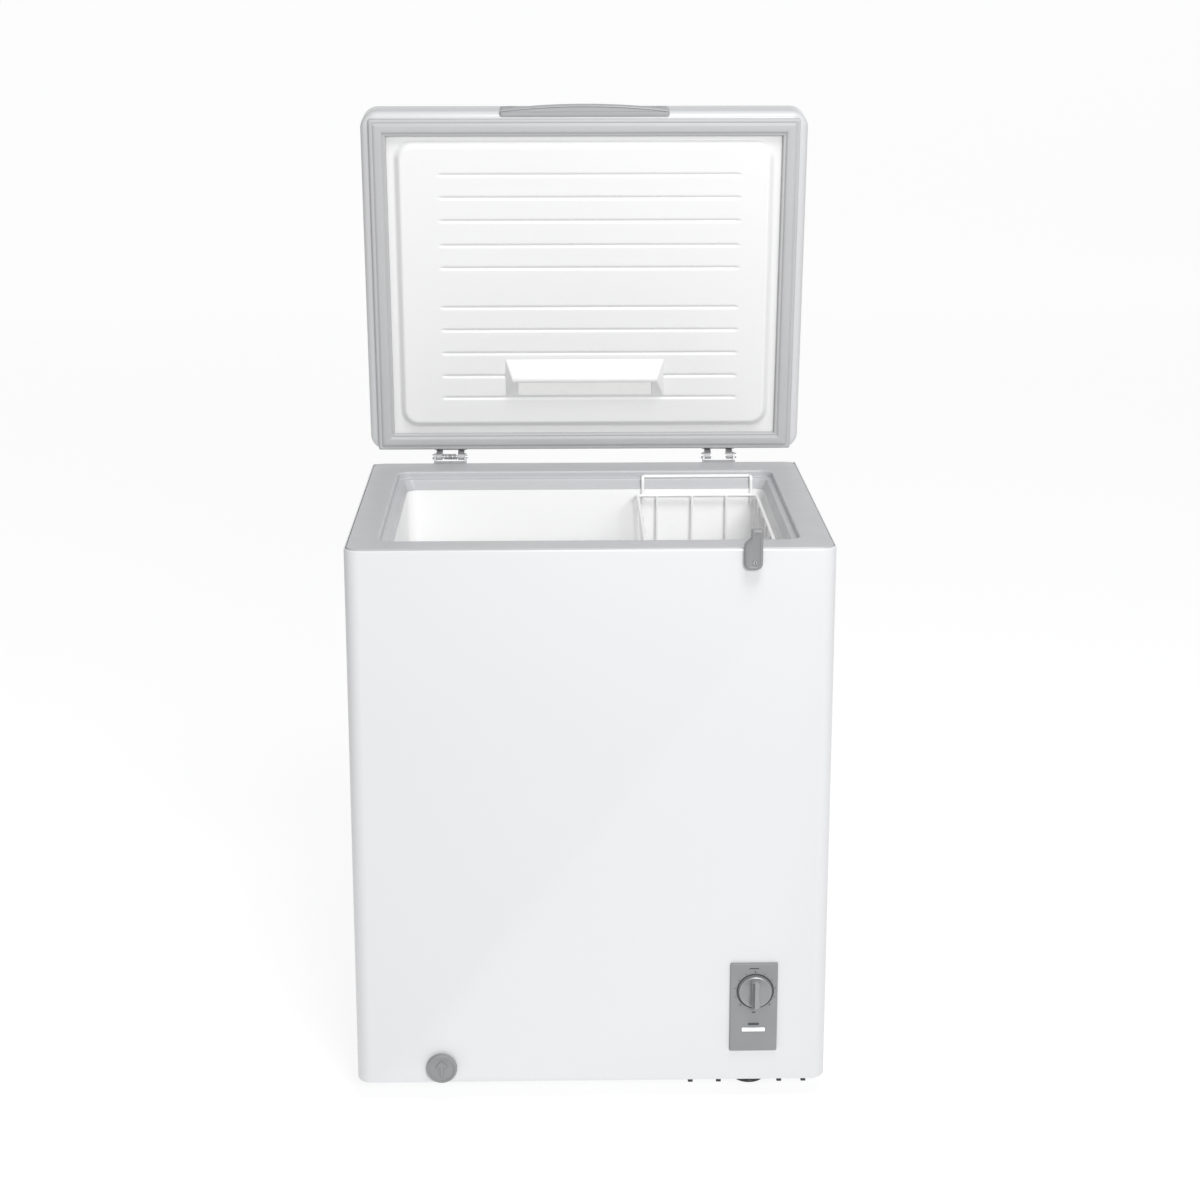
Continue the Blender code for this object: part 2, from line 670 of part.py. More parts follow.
def lid_section(depth):
    """(inset, z) pairs of the lid's skin at a depth below its surface: rolled edge, side, top edge."""
    pairs = []
    for i in range(4):
        a = math.radians(-90 + 30 * i)
        r = LID_ROLL - depth
        pairs.append((LID_ROLL - r * math.cos(a), LID_BOTTOM + LID_ROLL + r * math.sin(a)))
    for i in range(3):
        a = math.radians(45 * i)
        r = LID_TOP_ROLL - depth
        pairs.append((LID_TOP_ROLL - r * math.cos(a), LID_TOP - LID_TOP_ROLL + r * math.sin(a)))
    return pairs


def lid_loop(inset, z):
    """A loop round the closed lid. Far insets tighten the corners no further than a small radius."""
    r = max(LID_R - inset, 0.010)
    return rounded_rect(
        -LID_HALF_W + inset, LID_HALF_W - inset, LID_FRONT + inset, LID_BACK - inset, r, RIM_Z + z, arc=5
    )


def make_lid_panels(lid):
    inner = [lid_loop(*pair) for pair in reversed(lid_section(SHEET))]
    outer = [lid_loop(*pair) for pair in lid_section(0.0)]
    flange = [lid_loop(LID_FLANGE, LID_BOTTOM + SHEET), lid_loop(LID_FLANGE, LID_BOTTOM)]
    add("lid_outer_shell", loft(inner + flange + outer), white_paint(), *lid)
    foam = [lid_loop(LID_ROLL, LID_BOTTOM + 0.0030)]
    foam += [lid_loop(inset, max(z, LID_BOTTOM + 0.0034)) for inset, z in lid_section(SHEET + GAP)[1:]]
    add("lid_foam", loft(foam), material("foam", FOAM, 0.9), *lid)


def lid_rect(inset, z, r, front=0.0, back=0.0):
    """A loop inset from the gasket's outer edge."""
    x = GASKET_HALF_W - inset
    y0, y1 = GASKET_FRONT + inset + front, GASKET_BACK - inset - back
    return rounded_rect(-x, x, y0, y1, r, RIM_Z + z, arc=5)


def make_lid_liner(lid):
    """A moulded sheet: a flange behind the gasket, and a raised middle that reaches towards the rim."""
    top = LID_BOTTOM + SHEET + GAP
    sheet = 0.0015
    low = PLATEAU_BOTTOM
    loops = [
        lid_rect(0.0355, low + sheet, 0.024, front=-0.003),
        lid_rect(0.0305, top + sheet, 0.029, front=-0.003),
        lid_rect(0.0010, top + sheet, 0.010, front=0.0035, back=0.0070),
        lid_rect(0.0010, top, 0.010, front=0.0035, back=0.0070),
        lid_rect(0.0290, top, 0.029, front=-0.003),
        lid_rect(0.0340, low, 0.025, front=-0.003),
    ]
    add("lid_liner", loft(loops), white_plastic(), *lid)


def make_lid_gasket(lid):
    high, low = LID_BOTTOM - GAP, GASKET_BOTTOM
    band = 0.024
    loops = [
        lid_rect(0.0, high, 0.010),
        lid_rect(0.0, low + 0.003, 0.010),
        lid_rect(0.003, low, 0.008),
        lid_rect(band - 0.003, low, 0.006),
        lid_rect(band, low + 0.003, 0.006),
        lid_rect(band, high, 0.006),
    ]
    add("lid_gasket", loft(loops, ring=True), material("gasket", (0.55, 0.56, 0.57), 0.7), *lid)


def handle_outline(half, ends, middle, back, z):
    """Plan of the handle at one height: straight against the lid, arched in front, with rounded ends."""
    steps = 14
    points = [Vector((-half, back, RIM_Z + z))]
    for i in range(steps + 1):
        t = -1 + 2 * i / steps
        end_round = 0.0015 * abs(t) ** 12
        points.append(Vector((half * t, ends + (middle - ends) * (1 - t * t) + end_round, RIM_Z + z)))
    points.append(Vector((half, back, RIM_Z + z)))
    return points


def make_lid_handle(lid):
    """A lip along the lid's front edge that hugs its rolled corner, so that fingers lift it from beneath."""
    ends, middle = LID_FRONT - 0.0026, LID_FRONT - HANDLE_REACH
    axis_y, axis_z, r = LID_FRONT + LID_ROLL, LID_BOTTOM + LID_ROLL, LID_ROLL + GAP
    foot = axis_y - r * math.cos(math.radians(60))
    loops = [
        handle_outline(HANDLE_HALF_W - 0.0006, ends + 0.0006, middle + 0.0006, foot, LID_BOTTOM),
        handle_outline(HANDLE_HALF_W, ends, middle, foot, LID_BOTTOM + 0.0008),
    ]
    for i in range(5):
        a = math.radians(60 - 15 * i)
        loops.append(
            handle_outline(HANDLE_HALF_W, ends, middle, axis_y - r * math.cos(a), axis_z - r * math.sin(a))
        )
    back = LID_FRONT - GAP
    loops.append(handle_outline(HANDLE_HALF_W, ends + 0.0002, middle + 0.0012, back, axis_z + 0.008))
    loops.append(handle_outline(HANDLE_HALF_W - 0.002, back - 0.0020, back - 0.0035, back, HANDLE_TOP))
    add("lid_handle", loft(loops), grey_plastic(), *lid)


def make_lid_lamp(lid):
    """A low wedge under the lid's liner. Its lens looks down into the cabinet when the lid is up."""
    front, ridge, back = 0.365, 0.3925, 0.420
    high = RIM_Z + PLATEAU_BOTTOM - GAP
    low = RIM_Z + LAMP_DEPTH
    base = rect(-LAMP_HALF_W, LAMP_HALF_W, front, back, high)
    edge = rect(-LAMP_HALF_W + 0.010, LAMP_HALF_W - 0.010, ridge - 0.002, ridge + 0.002, low)
    housing = add("lamp_housing", loft([base, edge]), white_plastic(), *lid)
    pocket = block(-0.098, 0.098, ridge + 0.0035, back + 0.01, low - 0.01, high - 0.0012)
    combine(housing, cutter("cut_lamp_pocket", pocket, *lid))
    x, y0, y1 = 0.0976, ridge + 0.0039, back - 0.0012
    top = high - 0.0012 - GAP
    lens = [(y0, low + 0.0016), (y1, top - 0.0004), (y1 - 0.004, top), (y0, low + 0.0042)]
    lens = prism_x(lens, -x, x)
    add("lamp_lens", lens, material("lens", (0.9, 0.9, 0.88), 0.3), *lid)
    board = block(-0.080, 0.080, y0 + 0.001, y0 + 0.011, top - 0.0014, top)
    add("lamp_board", board, material("board", (0.05, 0.2, 0.1), 0.5), *lid)


# Hinges


def round_ear(radius, back_y, end_z, side):
    """Side view of an ear: half round the pin, with a neck that runs up (side 1) or down (side -1)."""
    points = [(HINGE_Y + radius, end_z)]
    for i in range(9):
        a = math.radians(180 * i / 8)
        points.append((HINGE_Y + radius * math.cos(a), HINGE_Z - side * radius * math.sin(a)))
    return points + [(back_y, HINGE_Z + side * radius), (back_y, end_z)]


def make_hinge(side, x, cabinet, lid):
    """A base screwed to the cabinet's back, and an arm on the lid that turns about the pin."""
    steel = material("hinge_steel", (0.22, 0.22, 0.23), 0.4, 1.0)
    parent, shift = lid
    plate = 0.0018
    face = CABINET_D + GAP
    half = HINGE_HALF_W
    top = RIM_Z + 0.0015
    tip = GASKET_BACK + 0.0007
    angle = [(tip, RIM_Z + GAP), (tip, top), (face + plate, top), (face + plate, RIM_Z - 0.045)]
    angle += [(face, RIM_Z - 0.045), (face, RIM_Z + GAP)]
    base = add(f"hinge_base_{side}", prism_x(angle, -half, half), steel, cabinet, (x, 0, 0))
    face_side = (0, math.radians(90), 0)
    bore = turned([(PIN_R + 0.0001, -0.03), (PIN_R + 0.0001, 0.03)], 16)
    bore = cutter(f"cut_base_bore_{side}", bore, cabinet, (x, HINGE_Y, HINGE_Z), face_side)
    for n, x0 in enumerate((-half, half - 0.003)):
        ear = prism_x(round_ear(EAR_R, face + 0.0002, RIM_Z - 0.008, -1), x0, x0 + 0.003)
        combine(base, cutter(f"join_base_ear_{side}_{n}", ear, cabinet, (x, 0, 0)), "UNION")
    combine(base, bore)
    leaf = block(-half, half, LID_BACK + GAP, LID_BACK + GAP + plate, RIM_Z + 0.024, RIM_Z + 0.052)
    arm = add(f"hinge_arm_{side}", leaf, steel, parent, Vector(shift) + Vector((x, 0, 0)))
    arm_bore = turned([(PIN_R + 0.0001, -0.03), (PIN_R + 0.0001, 0.03)], 16)
    arm_bore = cutter(f"cut_arm_bore_{side}", arm_bore, parent, (x, 0, 0), face_side)
    for n, x0 in enumerate((-half + 0.0034, half - 0.0034 - 0.009)):
        lug = prism_x(round_ear(KNUCKLE_R, LID_BACK + GAP + 0.0002, RIM_Z + 0.027, 1), x0, x0 + 0.009)
        combine(arm, cutter(f"join_arm_lug_{side}_{n}", lug, parent, arm.location), "UNION")
    combine(arm, arm_bore)


def make_pins_and_spring(cabinet):
    face_side = (0, math.radians(90), 0)
    long_pin = [(0.0040, -0.0262), (0.0040, -0.0244), (PIN_R, -0.0243), (PIN_R, 0.0255)]
    place = (-HINGE_X, HINGE_Y, HINGE_Z)
    add("hinge_pin_left", turned(long_pin, 16), bare_steel(), cabinet, place, face_side)
    short_pin = [(PIN_R, -0.0135), (PIN_R, 0.0003), (0.0040, 0.0004), (0.0040, 0.0020)]
    half = HINGE_HALF_W
    for name, sign in (("inner", -1), ("outer", 1)):
        turn = (0, math.radians(90 * sign), 0)
        place = (HINGE_X + sign * half, HINGE_Y, HINGE_Z)
        add(f"hinge_pin_right_{name}", turned(short_pin, 16), bare_steel(), cabinet, place, turn)
    turns, steps, wire, radius, reach = 8, 10, 0.0009, 0.0039, 0.0098
    route = []
    for i in range(turns * steps + 1):
        a = 2 * math.pi * i / steps
        x = -reach + 2 * reach * i / (turns * steps)
        route.append((-HINGE_X + x, HINGE_Y + radius * math.cos(a), HINGE_Z + radius * math.sin(a)))
    tube("hinge_spring_left", route, wire, bare_steel(), cabinet, resolution=0)


# Basket


def basket_loop(inset, z):
    limits = (BASKET_X0 + inset, BASKET_X1 - inset, BASKET_Y0 + inset, BASKET_Y1 - inset)
    return rounded_rect(*limits, max(0.010 - inset, 0.004), z)


def make_basket(parent):
    taper = 0.006
    loops = [
        basket_loop(taper, BASKET_FLOOR_Z),
        basket_loop(0.0, BASKET_TOP_Z),
        basket_loop(BASKET_WALL, BASKET_TOP_Z),
        basket_loop(taper + BASKET_WALL, BASKET_FLOOR_Z + BASKET_WALL),
    ]
    add("basket", loft(loops), white_plastic(), parent)
    riser_front = BASKET_Y0 + 0.0008
    riser_back = BASKET_Y1 + 0.0012
    rail_z = RIM_Z - LEDGE_DEPTH + GAP + BAIL_WIRE_R
    foot_z = BASKET_TOP_Z + GAP
    for name, riser, rail in (
        ("basket_bail_front", riser_front, OPENING_FRONT + 0.0040),
        ("basket_bail_back", riser_back, OPENING_BACK - 0.0040),
    ):
        x0, x1 = BASKET_X0 + BAIL_INSET, BASKET_X1 - BAIL_INSET
        route = [(x0, riser, foot_z), (x0, riser, rail_z), (x0, rail, rail_z), (x1, rail, rail_z)]
        route += [(x1, riser, rail_z), (x1, riser, foot_z)]
        tube(name, filleted(route, 0.0045, arc=3), BAIL_WIRE_R, white_plastic(), parent)


def main():
    clear_scene()
    cabinet = empty("cabinet", (0, FRONT_Y, 0))
    make_outer_shell(cabinet)
    make_back_panel(cabinet)
    make_floor_pan(cabinet)
    make_inner_liner(cabinet)
    make_cabinet_foam(cabinet)
    make_top_frame(cabinet)
    make_evaporator(cabinet)
    make_condenser(cabinet)
    make_machine(cabinet)
    make_machine_covers(cabinet)
    make_feet(cabinet)
    make_control_panel(cabinet)
    make_thermostat(cabinet)
    face_front = (math.radians(90), 0, 0)
    make_knob(empty("knob_pivot", (KNOB_X, PANEL_FRONT - GAP, KNOB_Z), cabinet, face_front))
    make_lock(cabinet, empty("lock_pivot", (LOCK_BARREL_X, 0, LOCK_BARREL_Z), cabinet, face_front))
    spout_pivot = empty("spout_pivot", (DRAIN_X, 0, DRAIN_Z), cabinet, face_front)
    make_drain(cabinet, spout_pivot, empty("cap_pivot", (0, 0, 0), spout_pivot))
    make_drain_plug(empty("plug_pivot", (DRAIN_X, DRAIN_PLUG_Y, LINER_FLOOR_Z + LINER_WALL), cabinet))
    swing = (math.radians(-LID_OPEN_DEG), 0, 0)
    lid_pivot = empty("lid_pivot", (0, HINGE_Y, HINGE_Z), cabinet, swing)
    lid = (lid_pivot, (0, -HINGE_Y, -HINGE_Z))
    make_lid_panels(lid)
    make_lid_liner(lid)
    make_lid_gasket(lid)
    make_lid_handle(lid)
    make_lid_lamp(lid)
    for side, x in (("left", -HINGE_X), ("right", HINGE_X)):
        make_hinge(side, x, cabinet, lid)
    make_pins_and_spring(cabinet)
    make_basket(cabinet)


main()
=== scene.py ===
"""Looks of a compact chest freezer, lid open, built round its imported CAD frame.

Metres, +Z up, front towards -Y. Lid pieces are drawn with the lid closed and then swung open.
"""

import json
import math

import bmesh
import bpy
from mathutils import Matrix, Vector


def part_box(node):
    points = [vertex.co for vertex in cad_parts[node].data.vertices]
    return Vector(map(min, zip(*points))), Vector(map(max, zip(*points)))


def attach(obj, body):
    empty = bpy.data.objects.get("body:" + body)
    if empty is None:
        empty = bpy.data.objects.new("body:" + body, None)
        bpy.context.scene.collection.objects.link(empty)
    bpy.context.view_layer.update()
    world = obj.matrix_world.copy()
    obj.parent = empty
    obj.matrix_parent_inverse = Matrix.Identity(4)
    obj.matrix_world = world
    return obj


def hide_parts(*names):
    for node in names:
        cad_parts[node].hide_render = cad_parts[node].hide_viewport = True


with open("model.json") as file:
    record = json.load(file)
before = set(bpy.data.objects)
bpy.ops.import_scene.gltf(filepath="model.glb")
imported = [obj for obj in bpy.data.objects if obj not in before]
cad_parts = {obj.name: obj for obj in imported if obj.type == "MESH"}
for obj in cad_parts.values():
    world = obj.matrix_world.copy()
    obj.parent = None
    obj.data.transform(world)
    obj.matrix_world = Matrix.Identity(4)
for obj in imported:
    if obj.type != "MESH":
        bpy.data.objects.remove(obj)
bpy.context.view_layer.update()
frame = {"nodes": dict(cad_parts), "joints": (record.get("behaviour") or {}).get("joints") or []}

NODES = frame["nodes"]
JOINTS = {joint["name"]: joint for joint in frame["joints"]}
HINGE = Vector(JOINTS["lid_hinge"]["pos_m"])
OPEN_ANGLE = math.radians(JOINTS["lid_hinge"]["range_deg"][1])
SWING = Matrix.Translation(HINGE) @ Matrix.Rotation(-OPEN_ANGLE, 4, "X") @ Matrix.Translation(-HINGE)
SHUT = SWING.inverted()


def closed_box(node):
    """A lid node's lowest and highest corner with the lid shut."""
    points = [SHUT @ v.co for v in NODES[node].data.vertices]
    low = Vector([min(p[i] for p in points) for i in range(3)])
    high = Vector([max(p[i] for p in points) for i in range(3)])
    return low, high


# Places taken from the CAD
SHELL_LOW, SHELL_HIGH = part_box("outer_shell")
FRAME_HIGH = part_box("top_frame")[1]
LINER_LOW, LINER_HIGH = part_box("inner_liner")
HALF_W = SHELL_HIGH.x
FRONT = SHELL_LOW.y
BACK = SHELL_HIGH.y
RIM = FRAME_HIGH.z
LID_LOW, LID_HIGH = closed_box("lid_outer_shell")
GASKET_LOW, GASKET_HIGH = closed_box("lid_gasket")
LID_LINER_LOW, LID_LINER_HIGH = closed_box("lid_liner")

# Cabinet details
CORNER_R = 0.020
SHEET = 0.0008
SHELL_ROLL = 0.0022
LID_ROLL = 0.012
FRAME_EDGE = 0.0030
COLLAR_W = 0.013
LEDGE_W = 0.008
LEDGE_DEPTH = 0.010
COLLAR_DEPTH = RIM - LINER_HIGH.z - 0.0003
OPENING_R = 0.018
OPENING_X = LINER_HIGH.x - 0.001 + COLLAR_W
OPENING_FRONT = LINER_LOW.y + 0.001 - COLLAR_W - 0.0015
OPENING_BACK = LINER_HIGH.y - 0.001 + COLLAR_W - 0.0004
STEP_X = 0.125
STEP_Z = 0.300

WHITE = (0.652, 0.657, 0.667)
# The cabinet's white paint made darker for the lid: painted shade on the lid's skin.
SHADED_LID_WHITE = (0.57, 0.574, 0.582)
LINER_WHITE = (0.75, 0.75, 0.75)
# The liner's white plastic made lighter for the tub: painted light against the shade inside it.
LIT_TUB_WHITE = (0.89, 0.89, 0.89)
GREY = (0.435, 0.437, 0.45)


# Materials


def node_value(tree, kind, inputs, **settings):
    """A shader node with its settings and inputs: a value sets a socket, and a socket links to it."""
    node = tree.nodes.new(kind)
    for key, value in settings.items():
        setattr(node, key, value)
    for key, value in inputs.items():
        if isinstance(value, bpy.types.NodeSocket):
            tree.links.new(value, node.inputs[key])
        else:
            node.inputs[key].default_value = value
    return node


def calculated(tree, operation, *values):
    return node_value(tree, "ShaderNodeMath", dict(enumerate(values)), operation=operation).outputs[0]


def noise(tree, place, scale, detail=3.0):
    inputs = {"Vector": place, "Scale": scale, "Detail": detail}
    return node_value(tree, "ShaderNodeTexNoise", inputs).outputs["Fac"]


def spread(tree, value, low, high):
    """Maps the middle of a noise onto low to high."""
    inputs = {"Value": value, "From Min": 0.3, "From Max": 0.7, "To Min": low, "To Max": high}
    return node_value(tree, "ShaderNodeMapRange", inputs).outputs["Result"]


def material(name, color, rough, mottle, blotch, rough_spread, relief=None, worn=None, sockets=None):
    """A surface whose colour and gloss drift a little.

    mottle and rough_spread say how far they drift, and blotch is the scale of the colour's drift.
    relief is (scale, depth, strength) of its bumps.
    worn is (color, scale, share): specks or scuffs of another colour over part of the surface.
    """
    made = bpy.data.materials.new(name)
    made.use_nodes = True
    tree = made.node_tree
    shader = tree.nodes["Principled BSDF"]
    for key, value in (sockets or {}).items():
        shader.inputs[key].default_value = value
    place = tree.nodes.new("ShaderNodeTexCoord").outputs["Object"]
    drift = noise(tree, place, blotch)
    dark = (*[c * (1 - mottle) for c in color], 1.0)
    light = (*[min(1.0, c * (1 + mottle)) for c in color], 1.0)
    ramp = tree.nodes.new("ShaderNodeValToRGB")
    ramp.color_ramp.interpolation = "EASE"
    ramp.color_ramp.elements[0].position = 0.3
    ramp.color_ramp.elements[0].color = dark
    ramp.color_ramp.elements[1].position = 0.7
    ramp.color_ramp.elements[1].color = light
    tree.links.new(drift, ramp.inputs["Fac"])
    tint = ramp.outputs["Color"]
    if worn:
        other, scale, share = worn
        specks = noise(tree, place, scale, 6.0)
        inputs = {"Value": specks, "From Min": 0.62 - share * 0.3, "From Max": 0.68}
        inputs.update({"To Min": 0.0, "To Max": 0.8})
        amount = node_value(tree, "ShaderNodeMapRange", inputs).outputs["Result"]
        mix = node_value(tree, "ShaderNodeMix", {}, data_type="RGBA")
        tree.links.new(amount, mix.inputs["Factor"])
        tree.links.new(tint, mix.inputs[6])
        mix.inputs[7].default_value = (*other, 1.0)
        tint = mix.outputs[2]
    tree.links.new(tint, shader.inputs["Base Color"])
    gloss = noise(tree, place, blotch * 4)
    rough_range = spread(tree, gloss, rough - rough_spread, rough + rough_spread)
    tree.links.new(rough_range, shader.inputs["Roughness"])
    if relief:
        scale, depth, strength = relief
        inputs = {"Height": noise(tree, place, scale, 2.0), "Distance": depth, "Strength": strength}
        normal = node_value(tree, "ShaderNodeBump", inputs).outputs["Normal"]
        tree.links.new(normal, shader.inputs["Normal"])
    return made


def make_materials():
    peel = (70.0, 0.00004, 0.03)
    grain = (900.0, 0.00002, 0.05)
    fine = (900.0, 0.00003, 0.10)
    smooth = (60.0, 0.00003, 0.03)
    satin = (90.0, 0.00003, 0.04)
    coat = {"Coat Weight": 0.25, "Coat Roughness": 0.12}
    dull = {"Specular IOR Level": 0.45}
    metal = {"Metallic": 1.0}
    part_metal = {"Metallic": 0.35}
    glow = {"Emission Color": (1.0, 1.0, 0.98, 1.0), "Emission Strength": 0.14}
    steel_worn = ((0.52, 0.52, 0.51), 260.0, 0.15)
    can_worn = ((0.07, 0.065, 0.06), 120.0, 0.2)
    tread_worn = ((0.10, 0.10, 0.095), 300.0, 0.2)
    # The columns are those of material(), without the name
    finishes = {
        "white_paint": (WHITE, 0.30, 0.002, 1.5, 0.015, peel, None, coat),
        # The white paint darkened for the lid: painted shade
        "shaded_lid_paint": (SHADED_LID_WHITE, 0.31, 0.002, 1.5, 0.015, peel, None, coat),
        "white_plastic": (LINER_WHITE, 0.35, 0.010, 5.0, 0.05, satin, None, dull),
        # Lighter copy of the white plastic: painted light inside the tub
        "lit_tub_plastic": (LIT_TUB_WHITE, 0.36, 0.004, 4.0, 0.04, satin, None, dull),
        "lid_plastic": (LINER_WHITE, 0.40, 0.004, 4.0, 0.04, satin),
        "grey_plastic": (GREY, 0.34, 0.012, 8.0, 0.04, smooth),
        "handle_grey": ((0.36, 0.362, 0.37), 0.34, 0.012, 8.0, 0.04, smooth),
        "lock_grey": ((0.235, 0.237, 0.24), 0.34, 0.02, 30.0, 0.04, smooth),
        "panel_grey": ((0.235, 0.24, 0.245), 0.40, 0.03, 20.0, 0.05, grain),
        "knob_grey": ((0.30, 0.305, 0.31), 0.35, 0.03, 40.0, 0.05, fine, None, part_metal),
        "cap_grey": ((0.24, 0.243, 0.25), 0.42, 0.03, 60.0, 0.05, grain),
        "gasket": ((0.435, 0.438, 0.443), 0.58, 0.012, 12.0, 0.05, (150.0, 0.00004, 0.08)),
        "coated_wire": ((0.82, 0.82, 0.82), 0.34, 0.01, 60.0, 0.05, smooth),
        "foam": ((0.85, 0.74, 0.45), 0.9, 0.05, 60.0, 0.05, (500.0, 0.001, 0.6)),
        "galvanised": ((0.52, 0.53, 0.55), 0.42, 0.12, 90.0, 0.12, fine, None, metal),
        "hinge_steel": ((0.42, 0.42, 0.43), 0.45, 0.06, 150.0, 0.06, fine, steel_worn, part_metal),
        "bare_steel": ((0.48, 0.48, 0.49), 0.38, 0.06, 200.0, 0.08, fine, None, metal),
        "coil_aluminium": ((0.70, 0.70, 0.72), 0.38, 0.05, 120.0, 0.06, fine, None, metal),
        "coil_steel": ((0.12, 0.12, 0.13), 0.40, 0.10, 120.0, 0.06, fine, None, metal),
        "compressor_black": ((0.018, 0.018, 0.019), 0.36, 0.10, 30.0, 0.08, peel, can_worn),
        "copper": ((0.62, 0.28, 0.15), 0.40, 0.10, 90.0, 0.10, fine, None, metal),
        "rubber": ((0.022, 0.022, 0.023), 0.72, 0.10, 80.0, 0.06, grain, tread_worn),
        "rubber_grey": ((0.16, 0.165, 0.17), 0.70, 0.05, 80.0, 0.06, grain),
        "black_plastic": ((0.02, 0.02, 0.021), 0.45, 0.08, 60.0, 0.06, grain),
        "beige_plastic": ((0.70, 0.66, 0.55), 0.45, 0.03, 60.0, 0.05, grain),
        "lens": ((0.80, 0.80, 0.79), 0.45, 0.02, 60.0, 0.05, fine, None, glow),
        "indicator": ((0.88, 0.89, 0.88), 0.34, 0.01, 90.0, 0.04, fine),
        "board": ((0.05, 0.20, 0.10), 0.45, 0.10, 200.0, 0.08, grain),
        # Painted shadow on the knob's grip
        "knob_painted_shadow": ((0.10, 0.10, 0.105), 0.4, 0.05, 200.0, 0.05, fine),
        # Print on the panel, and the painted shade in the knob's groove
        "ink_and_groove_shade": ((0.055, 0.056, 0.06), 0.5, 0.06, 200.0, 0.05, fine),
    }
    return {name: material(name, *row) for name, row in finishes.items()}


# Meshes


def arc_points(cx, cy, r, start, end, steps):
    turns = [math.radians(start + (end - start) * i / steps) for i in range(steps + 1)]
    return [(cx + r * math.cos(a), cy + r * math.sin(a)) for a in turns]


def rounded(x0, x1, y0, y1, r, z, steps=8):
    """A rounded rectangle as a loop of points, anticlockwise from above."""
    points = arc_points(x1 - r, y0 + r, r, -90, 0, steps)
    points += arc_points(x1 - r, y1 - r, r, 0, 90, steps)
    points += arc_points(x0 + r, y1 - r, r, 90, 180, steps)
    points += arc_points(x0 + r, y0 + r, r, 180, 270, steps)
    return [Vector((x, y, z)) for x, y in points]


def skin(loops, ring=False):
    """Skins a row of loops. A ring joins the last loop to the first; otherwise both ends are capped."""
    bm = bmesh.new()
    rows = [[bm.verts.new(p) for p in loop] for loop in loops]
    pairs = list(zip(rows, rows[1:]))
    if ring:
        pairs.append((rows[-1], rows[0]))
    for low, high in pairs:
        for i in range(len(low)):
            j = (i + 1) % len(low)
            bm.faces.new((low[i], low[j], high[j], high[i]))
    if not ring:
        bm.faces.new(rows[0])
        bm.faces.new(rows[-1])
    bmesh.ops.recalc_face_normals(bm, faces=bm.faces)
    return bm


def block(x0, x1, y0, y1, z0, z1, bevel=0.0, segments=3):
    corners = [(x0, y0), (x1, y0), (x1, y1), (x0, y1)]
    bm = skin([[Vector((x, y, z)) for x, y in corners] for z in (z0, z1)])
    if bevel:
        bmesh.ops.bevel(bm, geom=bm.edges[:], offset=bevel, segments=segments, profile=0.5, affect="EDGES")
    return bm


def turned(profile, sides=48, ring=False, stretch=1.0):
    """A profile of (radius, height) points turned about Z."""
    loops = []
    for r, z in profile:
        turns = [2 * math.pi * i / sides for i in range(sides)]
        loops.append([Vector((r * math.cos(a), r * stretch * math.sin(a), z)) for a in turns])
    return skin(loops, ring)


def prism_x(outline, x0, x1):
    return skin([[Vector((x, y, z)) for y, z in outline] for x in (x0, x1)])


def moved(bm, matrix):
    bm.transform(matrix)
    return bm


def joined(parts):
    """Several meshes as one."""
    whole = bmesh.new()
    for part in parts:
        mesh = bpy.data.meshes.new("part")
        part.to_mesh(mesh)
        part.free()
        whole.from_mesh(mesh)
        bpy.data.meshes.remove(mesh)
    return whole


def placed(name, data):
    obj = bpy.data.objects.new(name, data)
    bpy.context.scene.collection.objects.link(obj)
    return obj


def boolean(base, tool, operation="DIFFERENCE"):
    holders = []
    for bm in (base, tool):
        mesh = bpy.data.meshes.new("holder")
        bm.to_mesh(mesh)
        bm.free()
        holders.append(placed("holder", mesh))
    modifier = holders[0].modifiers.new("cut", "BOOLEAN")
    modifier.operation = operation
    modifier.solver = "EXACT"
    modifier.object = holders[1]
    result = bmesh.new()
    result.from_object(holders[0], bpy.context.evaluated_depsgraph_get())
    for holder in holders:
        bpy.data.meshes.remove(holder.data)
    return result


def swept(route, radius, sides=10, closed=False):
    """A round wire along a route of points."""
    route = [Vector(p) for p in route]
    count = len(route)
    tangents = []
    for i in range(count):
        before = route[i - 1] if i or closed else route[i]
        after = route[(i + 1) % count] if i < count - 1 or closed else route[i]
        tangents.append((after - before).normalized())
    side = tangents[0].orthogonal().normalized()
    bm = bmesh.new()
    rows = []
    for point, tangent in zip(route, tangents):
        side = (side - tangent * side.dot(tangent)).normalized()
        across = tangent.cross(side)
        turns = [2 * math.pi * k / sides for k in range(sides)]
        row = [bm.verts.new(point + (side * math.cos(a) + across * math.sin(a)) * radius) for a in turns]
        rows.append(row)
    pairs = list(zip(rows, rows[1:]))
    if closed:
        pairs.append((rows[-1], rows[0]))
    shift = 0
    for n, (low, high) in enumerate(pairs):
        if closed and n == count - 1:
            shift = min(range(sides), key=lambda k: (high[k].co - low[0].co).length)
        for k in range(sides):
            j = (k + 1) % sides
            bm.faces.new((low[k], low[j], high[(j + shift) % sides], high[(k + shift) % sides]))
    if not closed:
        bm.faces.new(rows[0][::-1])
        bm.faces.new(rows[-1])
    bmesh.ops.recalc_face_normals(bm, faces=bm.faces)
    return bm


def filleted(points, r, steps=6):
    """The same route with its corners rounded."""
    points = [Vector(p) for p in points]
    route = [points[0]]
    for before, corner, after in zip(points, points[1:], points[2:]):
        a = (before - corner).normalized()
        b = (after - corner).normalized()
        half = a.angle(b) / 2
        centre = corner + (a + b).normalized() * (r / math.sin(half))
        start = corner + a * (r / math.tan(half)) - centre
        end = corner + b * (r / math.tan(half)) - centre
        for i in range(steps + 1):
            route.append(centre + start.slerp(end, i / steps).normalized() * r)
    route.append(points[-1])
    return route


